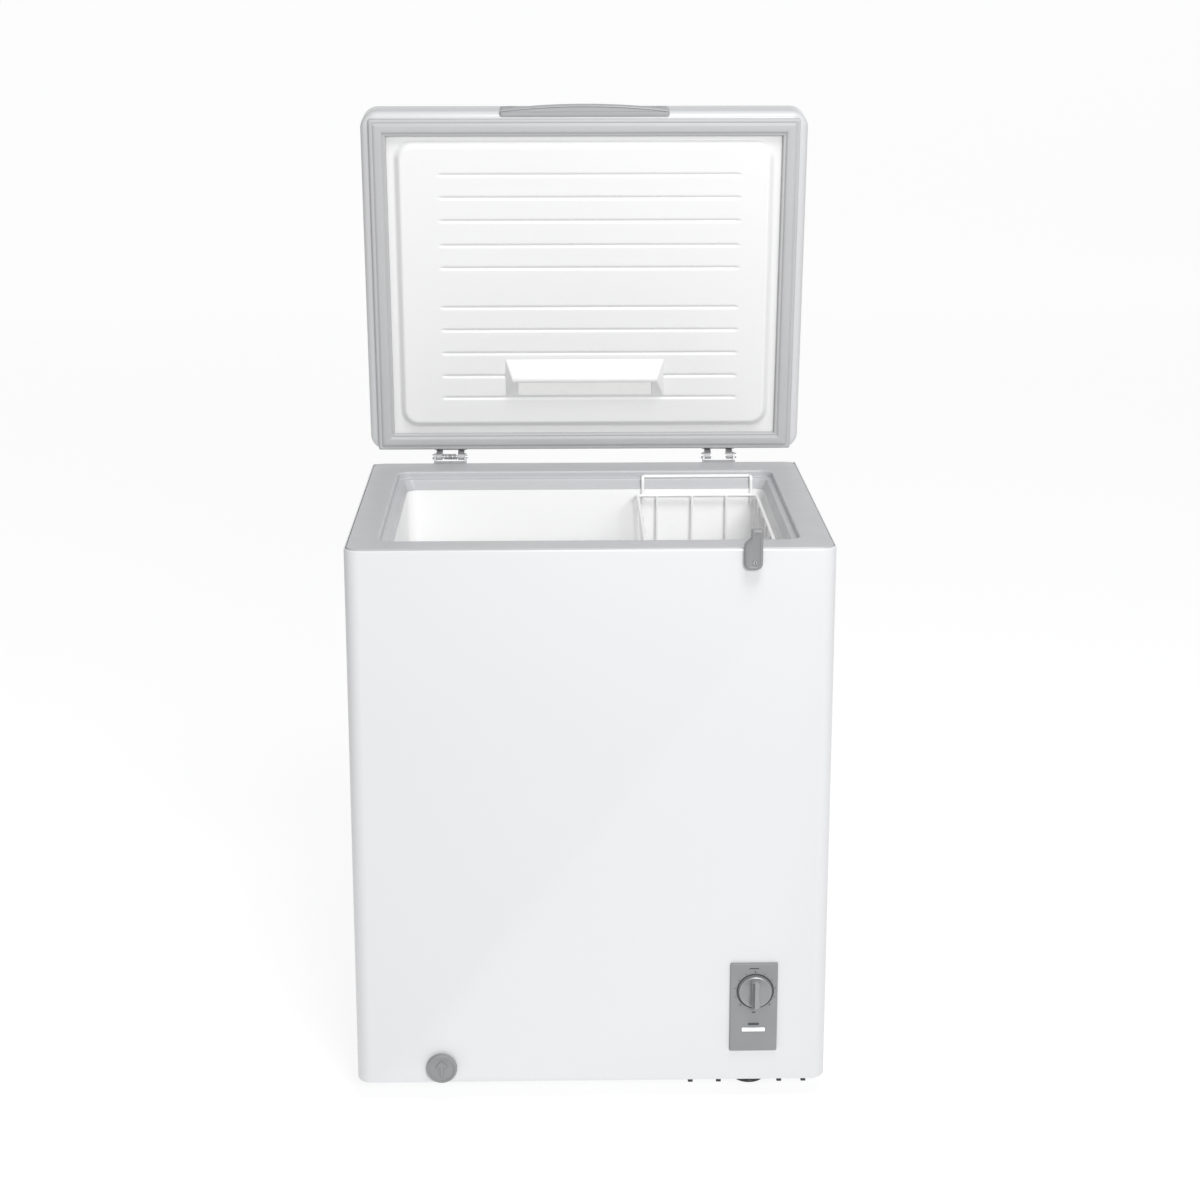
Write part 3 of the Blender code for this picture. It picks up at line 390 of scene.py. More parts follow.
def graded(low, high, coarse, marks):
    """Positions from low to high, coarse apart but finer within reach of each (centre, reach, step) mark."""
    parts = round((high - low) / coarse)
    spots = [low + (high - low) * i / parts for i in range(parts + 1)]
    for centre, reach, step in marks:
        spots = [s for s in spots if abs(s - centre) > reach or s in (low, high)]
        count = round(2 * reach / step)
        spots += [centre - reach + 2 * reach * i / count for i in range(count + 1)]
    spots = sorted(s for s in spots if low <= s <= high)
    kept = [spots[0]]
    for s in spots[1:]:
        if s - kept[-1] > 0.0004:
            kept.append(s)
    kept[-1] = high
    return kept


def sheet_grid(us, vs, place, thickness):
    """A sheet of that thickness over a grid.

    place(u, v) gives a point of its face and the way to its back.
    """
    bm = bmesh.new()
    front, back = [], []
    for v in vs:
        points = [place(u, v) for u in us]
        front.append([bm.verts.new(p) for p, _ in points])
        back.append([bm.verts.new(p + n * thickness) for p, n in points])
    for j in range(len(vs) - 1):
        for i in range(len(us) - 1):
            bm.faces.new((front[j][i], front[j][i + 1], front[j + 1][i + 1], front[j + 1][i]))
            bm.faces.new((back[j][i], back[j + 1][i], back[j + 1][i + 1], back[j][i + 1]))
    rim, rim_back = [], []
    for edge, face in ((rim, front), (rim_back, back)):
        edge += [face[0][i] for i in range(len(us))]
        edge += [face[j][-1] for j in range(1, len(vs))]
        edge += [face[-1][i] for i in range(len(us) - 2, -1, -1)]
        edge += [face[j][0] for j in range(len(vs) - 2, 0, -1)]
    for k in range(len(rim)):
        n = (k + 1) % len(rim)
        bm.faces.new((rim[n], rim[k], rim_back[k], rim_back[n]))
    bmesh.ops.recalc_face_normals(bm, faces=bm.faces)
    return bm


def smooth_step(value, low, high):
    t = max(0.0, min(1.0, (value - low) / (high - low)))
    return t * t * (3 - 2 * t)


def inside_distance(x, y, x0, x1, y0, y1, r):
    """How far a point lies inside a rounded rectangle; negative outside."""
    dx = abs(x - (x0 + x1) / 2) - (x1 - x0) / 2 + r
    dy = abs(y - (y0 + y1) / 2) - (y1 - y0) / 2 + r
    outer = math.hypot(max(dx, 0.0), max(dy, 0.0)) + min(max(dx, dy), 0.0)
    return r - outer


# Pieces


def piece(name, bm, finish, body, nodes=(), slot=None, sharp=32, lid=False):
    """A finished object on its body. Lid pieces come drawn shut and are swung open."""
    if lid:
        bm.transform(SWING)
    bmesh.ops.recalc_face_normals(bm, faces=bm.faces)
    if bm.calc_volume(signed=True) < 0:
        bmesh.ops.reverse_faces(bm, faces=bm.faces)
    mesh = bpy.data.meshes.new(name)
    bm.to_mesh(mesh)
    bm.free()
    mesh.shade_smooth()
    mesh.set_sharp_from_angle(angle=math.radians(sharp))
    mesh.materials.clear()
    mesh.materials.append(MATERIALS[finish])
    obj = placed(name, mesh)
    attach(obj, body)
    if nodes:
        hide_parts(*nodes)
    return obj


def refine(node, finish, bevel=0.0, segments=2):
    """A CAD node that stays, with its finish and softened edges."""
    obj = NODES[node]
    obj.data.materials.clear()
    obj.data.materials.append(MATERIALS[finish])
    if bevel:
        modifier = obj.modifiers.new("edges", "BEVEL")
        modifier.width = bevel
        modifier.segments = segments
        modifier.limit_method = "ANGLE"
        modifier.angle_limit = math.radians(40)


FACE_FRONT = Matrix.Rotation(math.radians(90), 4, "X")
FACE_BACK = Matrix.Rotation(math.radians(-90), 4, "X")


def at(x, y, z, turn=None):
    place = Matrix.Translation((x, y, z))
    return place @ turn if turn else place


def bored(base, radius, place, turn=None, reach=0.02):
    """A mesh with a round hole through it."""
    drill = turned([(radius, -reach), (radius, reach)], 32)
    return boolean(base, moved(drill, at(*place, turn)))


def middle_of(low, high):
    return [(a + b) / 2 for a, b in zip(low, high)]


def pan_screw(radius):
    """A screw head with a cross recess, standing on Z = 0."""
    head = [(radius, -0.0004), (radius, 0.0003), (radius * 0.93, radius * 0.32)]
    head.append((radius * 0.7, radius * 0.50))
    head.append((radius * 0.3, radius * 0.58))
    bm = turned(head, 20)
    arm, width, depth = radius * 0.55, radius * 0.14, radius * 0.25
    for x, y in ((arm, width), (width, arm)):
        bm = boolean(bm, block(-x, x, -y, y, depth, radius))
    return bm


def screws(name, radius, places, turn, body, finish="bare_steel", lid=False):
    """One piece for a set of screws."""
    heads = []
    for n, place in enumerate(places):
        spin = Matrix.Rotation(math.radians(37 * n), 4, "Z")
        heads.append(moved(pan_screw(radius), at(*place, turn) @ spin))
    return piece(name, joined(heads), finish, body, sharp=40, lid=lid)


# Cabinet


def wrap_path(inset, steps=10):
    """The plan of the steel wrapper, from the fold at the back left round the front to the back right."""
    half, front, back = HALF_W - inset, FRONT + inset, BACK - inset
    fold = max(0.0032 - inset, 0.0004)
    corner = CORNER_R - inset
    end = HALF_W - 0.016
    path = [(-end, back)]
    path += arc_points(-half + fold, back - fold, fold, 90, 180, 4)
    path += arc_points(-half + corner, front + corner, corner, 180, 270, steps)
    path += arc_points(half - corner, front + corner, corner, 270, 360, steps)
    path += arc_points(half - fold, back - fold, fold, 0, 90, 4)
    path.append((end, back))
    return path


def make_wrapper():
    """Sides and front in one sheet, its top edge rolled in against the frame, with a hem along the foot."""
    low, high = SHELL_LOW.z, SHELL_HIGH.z
    roll = SHELL_ROLL
    section = [(0.0015, low + 0.0006), (0.0004, low + 0.0002), (0.0, low + 0.0012)]
    for i in range(5):
        a = math.radians(90 * i / 4)
        section.append((roll - roll * math.cos(a), high - roll + roll * math.sin(a)))
    section += [(roll, high - SHEET), (SHEET, high - roll), (SHEET, low + 0.0120), (0.0016, low + 0.0118)]
    columns = [[Vector((*p, z)) for p in wrap_path(inset)] for inset, z in section]
    loops = [[column[i] for column in columns] for i in range(len(columns[0]))]
    shell = skin(loops)
    vent_low, vent_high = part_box("side_vent_grille")
    flange = 0.009
    limits = (vent_low.y + flange, vent_high.y - flange, vent_low.z + flange, vent_high.z - flange)
    vent = rounded(*limits, 0.005, 0, 5)
    vent = skin([[Vector((x, p.x, p.y)) for p in vent] for x in (HALF_W - 0.01, HALF_W + 0.01)])
    shell = boolean(shell, vent)
    shaft = Vector(JOINTS["thermostat_turn"]["pos_m"])
    drain = Vector(JOINTS["drain_turn"]["pos_m"])
    for place, r in ((shaft, 0.006), (drain, 0.0135)):
        shell = bored(shell, r, place, FACE_FRONT, 0.01)
    piece("cabinet_wrapper", shell, "white_paint", "cabinet", ["outer_shell"], sharp=30)


def make_back_panel():
    """A sheet with two fields pressed outwards, cut out over the machine compartment."""
    low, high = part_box("back_panel")
    cover_low, cover_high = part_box("machine_cover")
    fields = (
        (low.x + 0.045, -0.020, low.z + 0.060, high.z - 0.075),
        (0.020, high.x - 0.045, cover_high.z + 0.040, high.z - 0.075),
    )
    xs = graded(low.x, high.x, 0.05, [(x, 0.010, 0.002) for field in fields for x in field[:2]])
    zs = graded(low.z, high.z, 0.05, [(z, 0.010, 0.002) for field in fields for z in field[2:]])

    def place(x, z):
        rise = max(smooth_step(inside_distance(x, z, *field, 0.012), 0.0, 0.006) for field in fields)
        return Vector((x, high.y + 0.0014 * rise, z)), Vector((0, -1, 0))

    sheet = sheet_grid(xs, zs, place, SHEET)
    hole = block(
        cover_low.x + 0.014, cover_high.x - 0.006, high.y - 0.02, high.y + 0.02,
        cover_low.z + 0.008, cover_high.z - 0.010,
    )
    piece("rear_panel", boolean(sheet, hole), "white_paint", "cabinet", ["back_panel"])
    spots = [(-HALF_W + 0.008, z) for z in (0.060, 0.290, 0.520, 0.745)]
    spots += [(HALF_W - 0.008, z) for z in (0.290, 0.520, 0.745)]
    places = [(x, BACK + 0.0002, z) for x, z in spots]
    screws("rear_panel_screws", 0.0036, places, FACE_BACK, "cabinet")


def opening_loop(outset, z, r, steps=10):
    limits = (-OPENING_X - outset, OPENING_X + outset, OPENING_FRONT - outset, OPENING_BACK + outset)
    return rounded(*limits, r, RIM + z, steps)


def edge_loop(inset, z, steps=10):
    half = HALF_W - inset
    limits = (-half, half, FRONT + inset, FRAME_HIGH.y + 0.0011 - inset)
    return rounded(*limits, CORNER_R - inset, RIM + z, steps)


def make_top_frame():
    """The moulded frame: outer skirt, flat top, ledge for the basket and a sloping collar."""
    edge, wall, r = FRAME_EDGE, 0.002, OPENING_R
    loops = [edge_loop(edge, -0.020)]
    loops += [edge_loop(edge, -0.0016), edge_loop(edge + 0.0004, -0.0006), edge_loop(edge + 0.0014, 0.0)]
    loops.append(opening_loop(0.0034, 0.0, r + 0.0034))
    for i in range(1, 5):
        a = math.radians(90 * i / 4)
        out = 0.0028 * (1 - math.sin(a))
        loops.append(opening_loop(out, -0.0028 * (1 - math.cos(a)), r + out))
    loops.append(opening_loop(0.0, -LEDGE_DEPTH + 0.0016, r))
    for i in range(1, 4):
        a = math.radians(90 * i / 3)
        into = 0.0016 * (1 - math.cos(a))
        loops.append(opening_loop(-into, -LEDGE_DEPTH + 0.0016 * (1 - math.sin(a)), r - into))
    lip = LEDGE_W - 0.0014
    ledge, collar = -LEDGE_DEPTH, -COLLAR_DEPTH
    for outset, z, wider in (
        (-lip, ledge, -0.0036), (-lip - 0.0009, ledge - 0.0004, -0.0038),
        (-LEDGE_W - 0.0005, ledge - 0.0018, -0.0040), (-COLLAR_W + 0.0006, collar + 0.0016, -0.0028),
        (-COLLAR_W, collar, -0.0020), (-COLLAR_W + wall, collar, -0.0010),
        (-LEDGE_W + wall, ledge - wall, -0.0020), (wall, ledge - wall, wall),
        (0.0034, -wall - 0.0028, 0.0034),
    ):
        loops.append(opening_loop(outset, z, r + wider))
    loops.append(edge_loop(edge + wall, -wall - 0.0005))
    loops.append(edge_loop(edge + wall, -0.020))
    piece("rim_frame", skin(loops, ring=True), "grey_plastic", "cabinet", ["top_frame"], sharp=28)


def make_liner():
    """The white tub, with rounded corners, a step over the machine compartment and a drain in its floor."""
    x0, x1, y0, y1 = LINER_LOW.x + 0.001, LINER_HIGH.x - 0.001, LINER_LOW.y + 0.001, LINER_HIGH.y - 0.001
    floor, top = LINER_LOW.z + 0.001, LINER_HIGH.z
    step_z = STEP_Z + 0.001
    step_x = STEP_X - 0.001
    spare = top + 0.06
    outline = [(x0, floor), (step_x, floor), (step_x, step_z), (x1, step_z), (x1, spare), (x0, spare)]
    bm = skin([[Vector((x, y, z)) for x, z in outline] for y in (y0, y1)])

    def on_nose(edge):
        return all(abs(v.co.x - step_x) < 1e-5 and abs(v.co.z - step_z) < 1e-5 for v in edge.verts)

    corners = [e for e in bm.edges if e.calc_length() > 0.1 or abs(e.verts[0].co.z - e.verts[1].co.z) < 1e-6]
    corners = [e for e in corners if not on_nose(e)]
    bevel = {"profile": 0.5, "affect": "EDGES", "clamp_overlap": True}
    bmesh.ops.bevel(bm, geom=corners, offset=0.019, segments=7, **bevel)
    nose = [e for e in bm.edges if on_nose(e)]
    bmesh.ops.bevel(bm, geom=nose, offset=0.0018, segments=3, **bevel)
    plane = bm.verts[:] + bm.edges[:] + bm.faces[:]
    bmesh.ops.bisect_plane(bm, geom=plane, plane_co=(0, 0, top), plane_no=(0, 0, 1), clear_outer=True)
    bmesh.ops.recalc_face_normals(bm, faces=bm.faces)
    cx, cy, _ = middle_of(*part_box("drain_plug"))
    mesh = bpy.data.meshes.new("tub")
    bm.to_mesh(mesh)
    bm.free()
    holder = placed("tub", mesh)
    thick = holder.modifiers.new("wall", "SOLIDIFY")
    thick.thickness = 0.001
    thick.offset = 1.0
    thick.use_even_offset = True
    tub = bmesh.new()
    tub.from_object(holder, bpy.context.evaluated_depsgraph_get())
    bpy.data.meshes.remove(mesh)
    tub = bored(tub, 0.0078, (cx, cy, floor))
    # Its plastic is a lighter copy of the liner white: painted light inside the tub.
    piece("storage_tub", tub, "lit_tub_plastic", "cabinet", ["inner_liner"], slot="white_plastic", sharp=40)


def make_side_grille():
    """A frame with slanted blades behind the hole in the right side."""
    low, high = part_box("side_vent_grille")
    rim = 0.010

    def loop(inset, x, r):
        plan = rounded(low.y + inset, high.y - inset, low.z + inset, high.z - inset, r, 0, 5)
        return [Vector((x, p.x, p.y)) for p in plan]

    border = skin(
        [
            loop(0.0, low.x, 0.006), loop(0.0, high.x, 0.006), loop(rim, high.x, 0.004),
            loop(rim + 0.0008, high.x - 0.0008, 0.0034), loop(rim + 0.0008, low.x, 0.0034),
        ],
        ring=True,
    )
    count = 9
    pitch = (high.z - low.z - 2 * rim) / count
    blades = []
    for n in range(count):
        z = low.z + rim + pitch * (n + 0.5)
        outline = [(low.x - 0.006, z + 0.0052), (low.x - 0.0072, z + 0.0040), (high.x - 0.0010, z - 0.0052)]
        outline += [(high.x - 0.0002, z - 0.0048), (high.x - 0.0002, z - 0.0036)]
        ends = (low.y + rim - 0.003, high.y - rim + 0.003)
        plan = [[Vector((x, y, zz)) for x, zz in outline] for y in ends]
        blades.append(skin(plan))
    grille = boolean(border, joined(blades), "UNION")
    piece("side_louvres", grille, "grey_plastic", "cabinet", ["side_vent_grille"])


def make_machine_cover():
    """A painted plate over the machine compartment, with rounded slots, screws and the cable gland's hole."""
    low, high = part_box("machine_cover")
    plate = block(low.x, high.x, low.y, high.y, low.z, high.z)
    slots = []
    count, columns = 8, 2
    start, end = low.z + 0.055, high.z - 0.012
    pitch = (end - start) / count
    width = (high.x - low.x - 0.036) / columns
    for n in range(count):
        z = start + pitch * (n + 0.5)
        for c in range(columns):
            x0 = low.x + 0.013 + c * (width + 0.010)
            plan = rounded(x0, x0 + width, z - pitch * 0.24, z + pitch * 0.24, pitch * 0.22, 0, 5)
            slots.append(skin([[Vector((p.x, y, p.y)) for p in plan] for y in (low.y - 0.01, high.y + 0.01)]))
    plate = boolean(plate, joined(slots))
    cx, _, cz = middle_of(*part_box("cord_gland"))
    plate = bored(plate, 0.0080, (cx, high.y, cz), FACE_BACK)
    piece("rear_cover", plate, "white_paint", "cabinet", ["machine_cover"], sharp=25)
    heights = (low.z + 0.008, 0.142, high.z - 0.007)
    places = [(x, high.y, z) for x in (low.x + 0.006, high.x - 0.006) for z in heights]
    screws("rear_cover_screws", 0.0034, places, FACE_BACK, "cabinet")


def make_feet():
    """Rubber feet with a soft tread edge and two grooves."""
    for side in ("front_left", "back_left", "front_right", "back_right"):
        node = f"foot_{side}"
        low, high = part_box(node)
        r = (high.x - low.x) / 2
        top = high.z
        profile = [(r * 0.60, 0.0012), (r * 0.66, 0.0), (r * 0.86, 0.0), (r * 0.94, 0.0009)]
        profile += [(r * 0.985, 0.003), (r, 0.0062), (r * 0.99, 0.0085), (r * 0.93, 0.0098)]
        profile += [(r * 0.91, 0.0108), (r * 0.84, 0.0112), (r * 0.83, 0.0135), (r * 0.78, 0.0140)]
        profile += [(r * 0.78, 0.0150), (r * 0.83, 0.0155), (r * 0.83, top)]
        place = at(*middle_of(low, high)[:2], 0.0)
        piece(f"rubber_{node}", moved(turned(profile, 48), place), "rubber", "cabinet", [node])


def make_floor_tabs():
    """Four short dark tabs behind the wrapper's front edge, on both sides of the front right foot."""
    half_w, near, far = 0.0033, FRONT + 0.0034, FRONT + 0.0120
    bottom, top = SHELL_LOW.z - 0.0055, SHELL_LOW.z + 0.004
    tabs = []
    for x in (0.1337, 0.1718, 0.2536, 0.2863):
        tabs.append(block(x - half_w, x + half_w, near, far, bottom, top, 0.0008))
    piece("floor_tabs", joined(tabs), "black_plastic", "cabinet")


def make_compressor():
    """The welded can with its seam, in gloss black."""
    low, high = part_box("compressor")
    cx, cy, _ = middle_of(low, high)
    r, tall = (high.x - low.x) / 2, high.z - low.z
    profile = [(0.54, 0.0), (0.80, 0.025), (0.92, 0.08), (0.97, 0.17), (0.98, 0.46), (0.985, 0.485)]
    profile += [(1.0, 0.495), (1.0, 0.535), (0.985, 0.545), (0.975, 0.56), (0.965, 0.70), (0.93, 0.80)]
    profile += [(0.84, 0.90), (0.68, 0.96)]
    profile += [(0.45, 0.993), (0.25, 1.0)]
    can = turned([(r * a, tall * b) for a, b in profile], 64, stretch=(high.y - low.y) / (high.x - low.x))
    piece("compressor_can", moved(can, at(cx, cy, low.z)), "compressor_black", "cabinet", ["compressor"])


# Controls on the front


def front_plate(x0, x1, z0, z1, levels, r):
    """A rounded plate facing front, from (inset, y) levels."""
    loops = []
    for inset, y in levels:
        plan = rounded(x0 + inset, x1 - inset, z0 + inset, z1 - inset, max(r - inset, 0.0006), 0, 6)
        loops.append([Vector((p.x, y, p.y)) for p in plan])
    return skin(loops)


def dial_mark(angle, r0, r1, width, lift):
    """A raised tick on the dial's scale, straight out from its centre, facing front from Z = 0."""
    tick = block(-width / 2, width / 2, r0, r1, -0.0002, lift)
    return moved(tick, Matrix.Rotation(math.radians(-angle), 4, "Z"))


def make_control_panel():
    low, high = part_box("control_panel")
    knob = Vector(JOINTS["thermostat_turn"]["pos_m"])
    face = low.y
    levels = [(0.0, high.y), (0.0, face + 0.0016), (0.0003, face + 0.0007), (0.0010, face + 0.0001)]
    levels.append((0.0020, face))
    plate = front_plate(low.x, high.x, low.z, high.z, levels, 0.0022)
    groove = turned([(0.0228, -0.0012), (0.0250, -0.0012), (0.0253, 0.004), (0.0225, 0.004)], 64, ring=True)
    plate = boolean(plate, moved(groove, at(knob.x, face, knob.z, FACE_FRONT)))
    plate = bored(plate, 0.0040, (knob.x, face, knob.z), FACE_FRONT, 0.01)
    lens_low, lens_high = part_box("indicator_lens")
    gap = 0.0003
    window = block(lens_low.x - gap, lens_high.x + gap, -1, 1, lens_low.z - gap, lens_high.z + gap)
    plate = boolean(plate, window)
    piece("panel_plate", plate, "panel_grey", "cabinet", ["control_panel"], slot="grey_plastic", sharp=28)
    marks = []
    for n in range(11):
        angle = -135 + 27 * n
        long = n % 5 == 0
        reach, width = (0.0290, 0.0011) if long else (0.0280, 0.0007)
        marks.append(dial_mark(angle, 0.0262, reach, width, 0.00025))
    # A dark ring at the bottom of the groove round the knob: painted shade in the groove.
    ring_shape = [(0.0229, -0.0011), (0.0249, -0.0011), (0.0249, -0.0004), (0.0229, -0.0004)]
    marks.append(turned(ring_shape, 64, ring=True))
    marks = moved(joined(marks), at(knob.x, face, knob.z, FACE_FRONT))
    strips = []
    middle = (low.x + high.x) / 2
    for x, z, w, h in (
        (middle, high.z - 0.0068, 0.0130, 0.0011),
        (middle, 0.1283, 0.0050, 0.0016),
        (middle, 0.1112, 0.0150, 0.0034),
    ):
        plan = [(0.0, face + 0.0003), (0.0, face - 0.0002), (0.0002, face - 0.0003)]
        strips.append(front_plate(x - w / 2, x + w / 2, z - h / 2, z + h / 2, plan, h * 0.45))
    piece("panel_print_and_groove_shade", joined([marks] + strips), "ink_and_groove_shade", "cabinet", slot="black_plastic")
    levels = [(0.0, lens_high.y), (0.0, lens_low.y + 0.0006), (0.0004, lens_low.y + 0.0001)]
    levels.append((0.0010, lens_low.y))
    lens = front_plate(lens_low.x, lens_high.x, lens_low.z, lens_high.z, levels, 0.0012)
    piece("indicator_window", lens, "indicator", "cabinet", ["indicator_lens"], slot="white_plastic")


def make_knob():
    """A dished disc with a waisted grip across it, and a dark strip on the left half of the grip's top:
    painted shadow of the grip.
    """
    low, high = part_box("thermostat_knob")
    cx, _, cz = middle_of(low, high)
    r, tall = (high.x - low.x) / 2, high.y - low.y
    disc = [(r * 0.90, 0.0), (r * 0.985, 0.0003), (r, 0.0010), (r, 0.0030), (r * 0.985, 0.0040)]
    disc += [(r * 0.93, 0.0046), (r * 0.88, 0.0044), (r * 0.80, 0.0036), (r * 0.40, 0.0030)]
    knob = turned(disc, 72)
    loops = []
    for lift, half_w, half_l in (
        (0.0022, 0.0076, r * 0.950), (0.0040, 0.0070, r * 0.945), (0.0080, 0.0065, r * 0.940),
        (tall - 0.0022, 0.0062, r * 0.930), (tall - 0.0008, 0.0057, r * 0.905), (tall, 0.0048, r * 0.860),
    ):
        half = []
        steps = 18
        for i in range(steps + 1):
            t = -1 + 2 * i / steps
            waist = half_w * (0.80 + 0.20 * t * t) * min(1.0, math.sqrt(max(0.0, 1 - abs(t) ** 9)) + 0.02)
            half.append((waist, half_l * t))
        loop = half + [(-x, y) for x, y in half[::-1]]
        loops.append([Vector((x, y, lift)) for x, y in loop])
    knob = boolean(knob, skin(loops), "UNION")
    place = at(cx, high.y, cz, FACE_FRONT)
    piece("dial_knob", moved(knob, place), "knob_grey", "knob", ["thermostat_knob"], slot="grey_plastic")
    # A dark strip along the left half of the grip's top: painted shade standing for the shadow on the grip's
    # left side.
    line = block(-0.0047, -0.0016, -r * 0.78, r * 0.82, tall - 0.0012, tall + 0.0002, 0.0001, 1)
    piece("dial_painted_shadow", moved(line, place), "knob_painted_shadow", "knob", slot="black_plastic")


def lock_outline(inset):
    """Front view of the lock's tab: round at the foot, with a sloped shoulder on its left."""
    low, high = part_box("lock_housing")
    x0, x1, z0, z1 = low.x + inset, high.x - inset, low.z + inset, high.z - inset
    r = 0.0085 - inset
    middle = (low.x + high.x) / 2
    shoulder = middle - 0.0033 + inset
    points = arc_points(x1 - r, z0 + r, r, -90, 0, 7)
    points += arc_points(x1 - 0.0030, z1 - 0.0030, 0.0030, 0, 90, 4)
    points += arc_points(shoulder + 0.0030, z1 - 0.0030, 0.0030, 90, 180, 4)
    points += [(shoulder, RIM + 0.0150), (shoulder - 0.0006, RIM + 0.0134), (x0 + 0.0010, RIM + 0.0072)]
    points += [(x0 + 0.0002, RIM + 0.0060), (x0, RIM + 0.0044)]
    points += arc_points(x0 + r, z0 + r, r, 180, 270, 7)
    return points


def make_lock():
    low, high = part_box("lock_housing")
    levels = [(0.0, high.y), (0.0, low.y + 0.0022), (0.0003, low.y + 0.0012), (0.0010, low.y + 0.0004)]
    levels += [(0.0020, low.y), (0.0034, low.y), (0.0038, low.y + 0.0005), (0.0046, low.y + 0.0007)]
    loops = [[Vector((x, y, z)) for x, z in lock_outline(inset)] for inset, y in levels]
    barrel_low, barrel_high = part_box("lock_barrel")
    cx, _, cz = middle_of(barrel_low, barrel_high)
    tab = bored(skin(loops), 0.0033, (cx, low.y, cz), FACE_FRONT)
    piece("lock_tab", tab, "lock_grey", "cabinet", ["lock_housing"], slot="grey_plastic", sharp=28)
    length = barrel_high.y - barrel_low.y
    core = turned([(0.0026, 0.0), (0.0030, 0.0004), (0.0030, length - 0.0006), (0.0026, length)], 32)
    core = boolean(core, block(-0.0006, 0.0006, -0.0020, 0.0020, length - 0.004, 0.02))
    place = at(cx, barrel_high.y, cz, FACE_FRONT)
    piece("key_barrel", moved(core, place), "hinge_steel", "lock_barrel", ["lock_barrel"], slot="bare_steel")


def make_drain_cap():
    """A round dial with a rim, a raised arrow and an outlet notch at its foot."""
    low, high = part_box("drain_cap")
    r, tall = (high.x - low.x) / 2, high.y - low.y
    cx, _, cz = middle_of(low, high)
    profile = [(r * 0.90, 0.0), (r * 0.98, 0.0008), (r, 0.0018), (r, tall - 0.0026)]
    profile += [(r * 0.985, tall - 0.0014), (r * 0.95, tall - 0.0003), (r * 0.90, tall)]
    profile += [(r * 0.84, tall - 0.0002), (r * 0.81, tall - 0.0014)]
    profile += [(r * 0.60, tall - 0.0017), (r * 0.10, tall - 0.0018)]
    cap = turned(profile, 72)
    shaft = block(-0.0022, 0.0022, -0.0110, 0.0040, tall - 0.0030, tall - 0.0004, 0.0004)
    cap = boolean(cap, shaft, "UNION")
    head = [Vector((-0.0085, 0.0030, 0)), Vector((0.0085, 0.0030, 0)), Vector((0.0, 0.0120, 0))]
    arrow = skin([[p + Vector((0, 0, z)) for p in head] for z in (tall - 0.0030, tall - 0.0005)])
    cap = boolean(cap, arrow, "UNION")
    cap = boolean(cap, block(-0.0040, 0.0040, -0.03, -r * 0.90, -0.01, tall * 0.45))
    cap = moved(cap, at(cx, high.y, cz, FACE_FRONT))
    piece("drain_dial", cap, "cap_grey", "drain_cap", ["drain_cap"], slot="grey_plastic")


# Lid


def lid_loop(inset, z, steps=10):
    r = max(0.024 - inset, 0.008)
    limits = (LID_LOW.x + inset, LID_HIGH.x - inset, LID_LOW.y + inset, LID_HIGH.y - inset)
    return rounded(*limits, r, z, steps)


def lid_section(depth):
    """(inset, z) of the lid's skin at a depth below its surface, from its lower edge to its top."""
    pairs = []
    roll, top_roll = LID_ROLL, 0.006
    for i in range(7):
        a = math.radians(-90 + 15 * i)
        pairs.append((roll - (roll - depth) * math.cos(a), LID_LOW.z + roll + (roll - depth) * math.sin(a)))
    for i in range(6):
        a = math.radians(18 * i)
        r = top_roll - depth
        pairs.append((top_roll - r * math.cos(a), LID_HIGH.z - top_roll + r * math.sin(a)))
    for inset, rise in ((0.020, 0.0006), (0.060, 0.0014), (0.120, 0.0020), (0.200, 0.0023)):
        pairs.append((inset, LID_HIGH.z + rise - depth))
    return pairs


def make_lid_shell():
    inner = [lid_loop(*pair) for pair in reversed(lid_section(SHEET))]
    outer = [lid_loop(*pair) for pair in lid_section(0.0)]
    flange = [lid_loop(0.022, LID_LOW.z + SHEET), lid_loop(0.022, LID_LOW.z)]
    shell = skin(inner + flange + outer)
    # Its paint is a darker copy of the cabinet's white: painted shade.
    piece("lid_skin", shell, "shaded_lid_paint", "lid", ["lid_outer_shell"], slot="white_paint", sharp=40, lid=True)


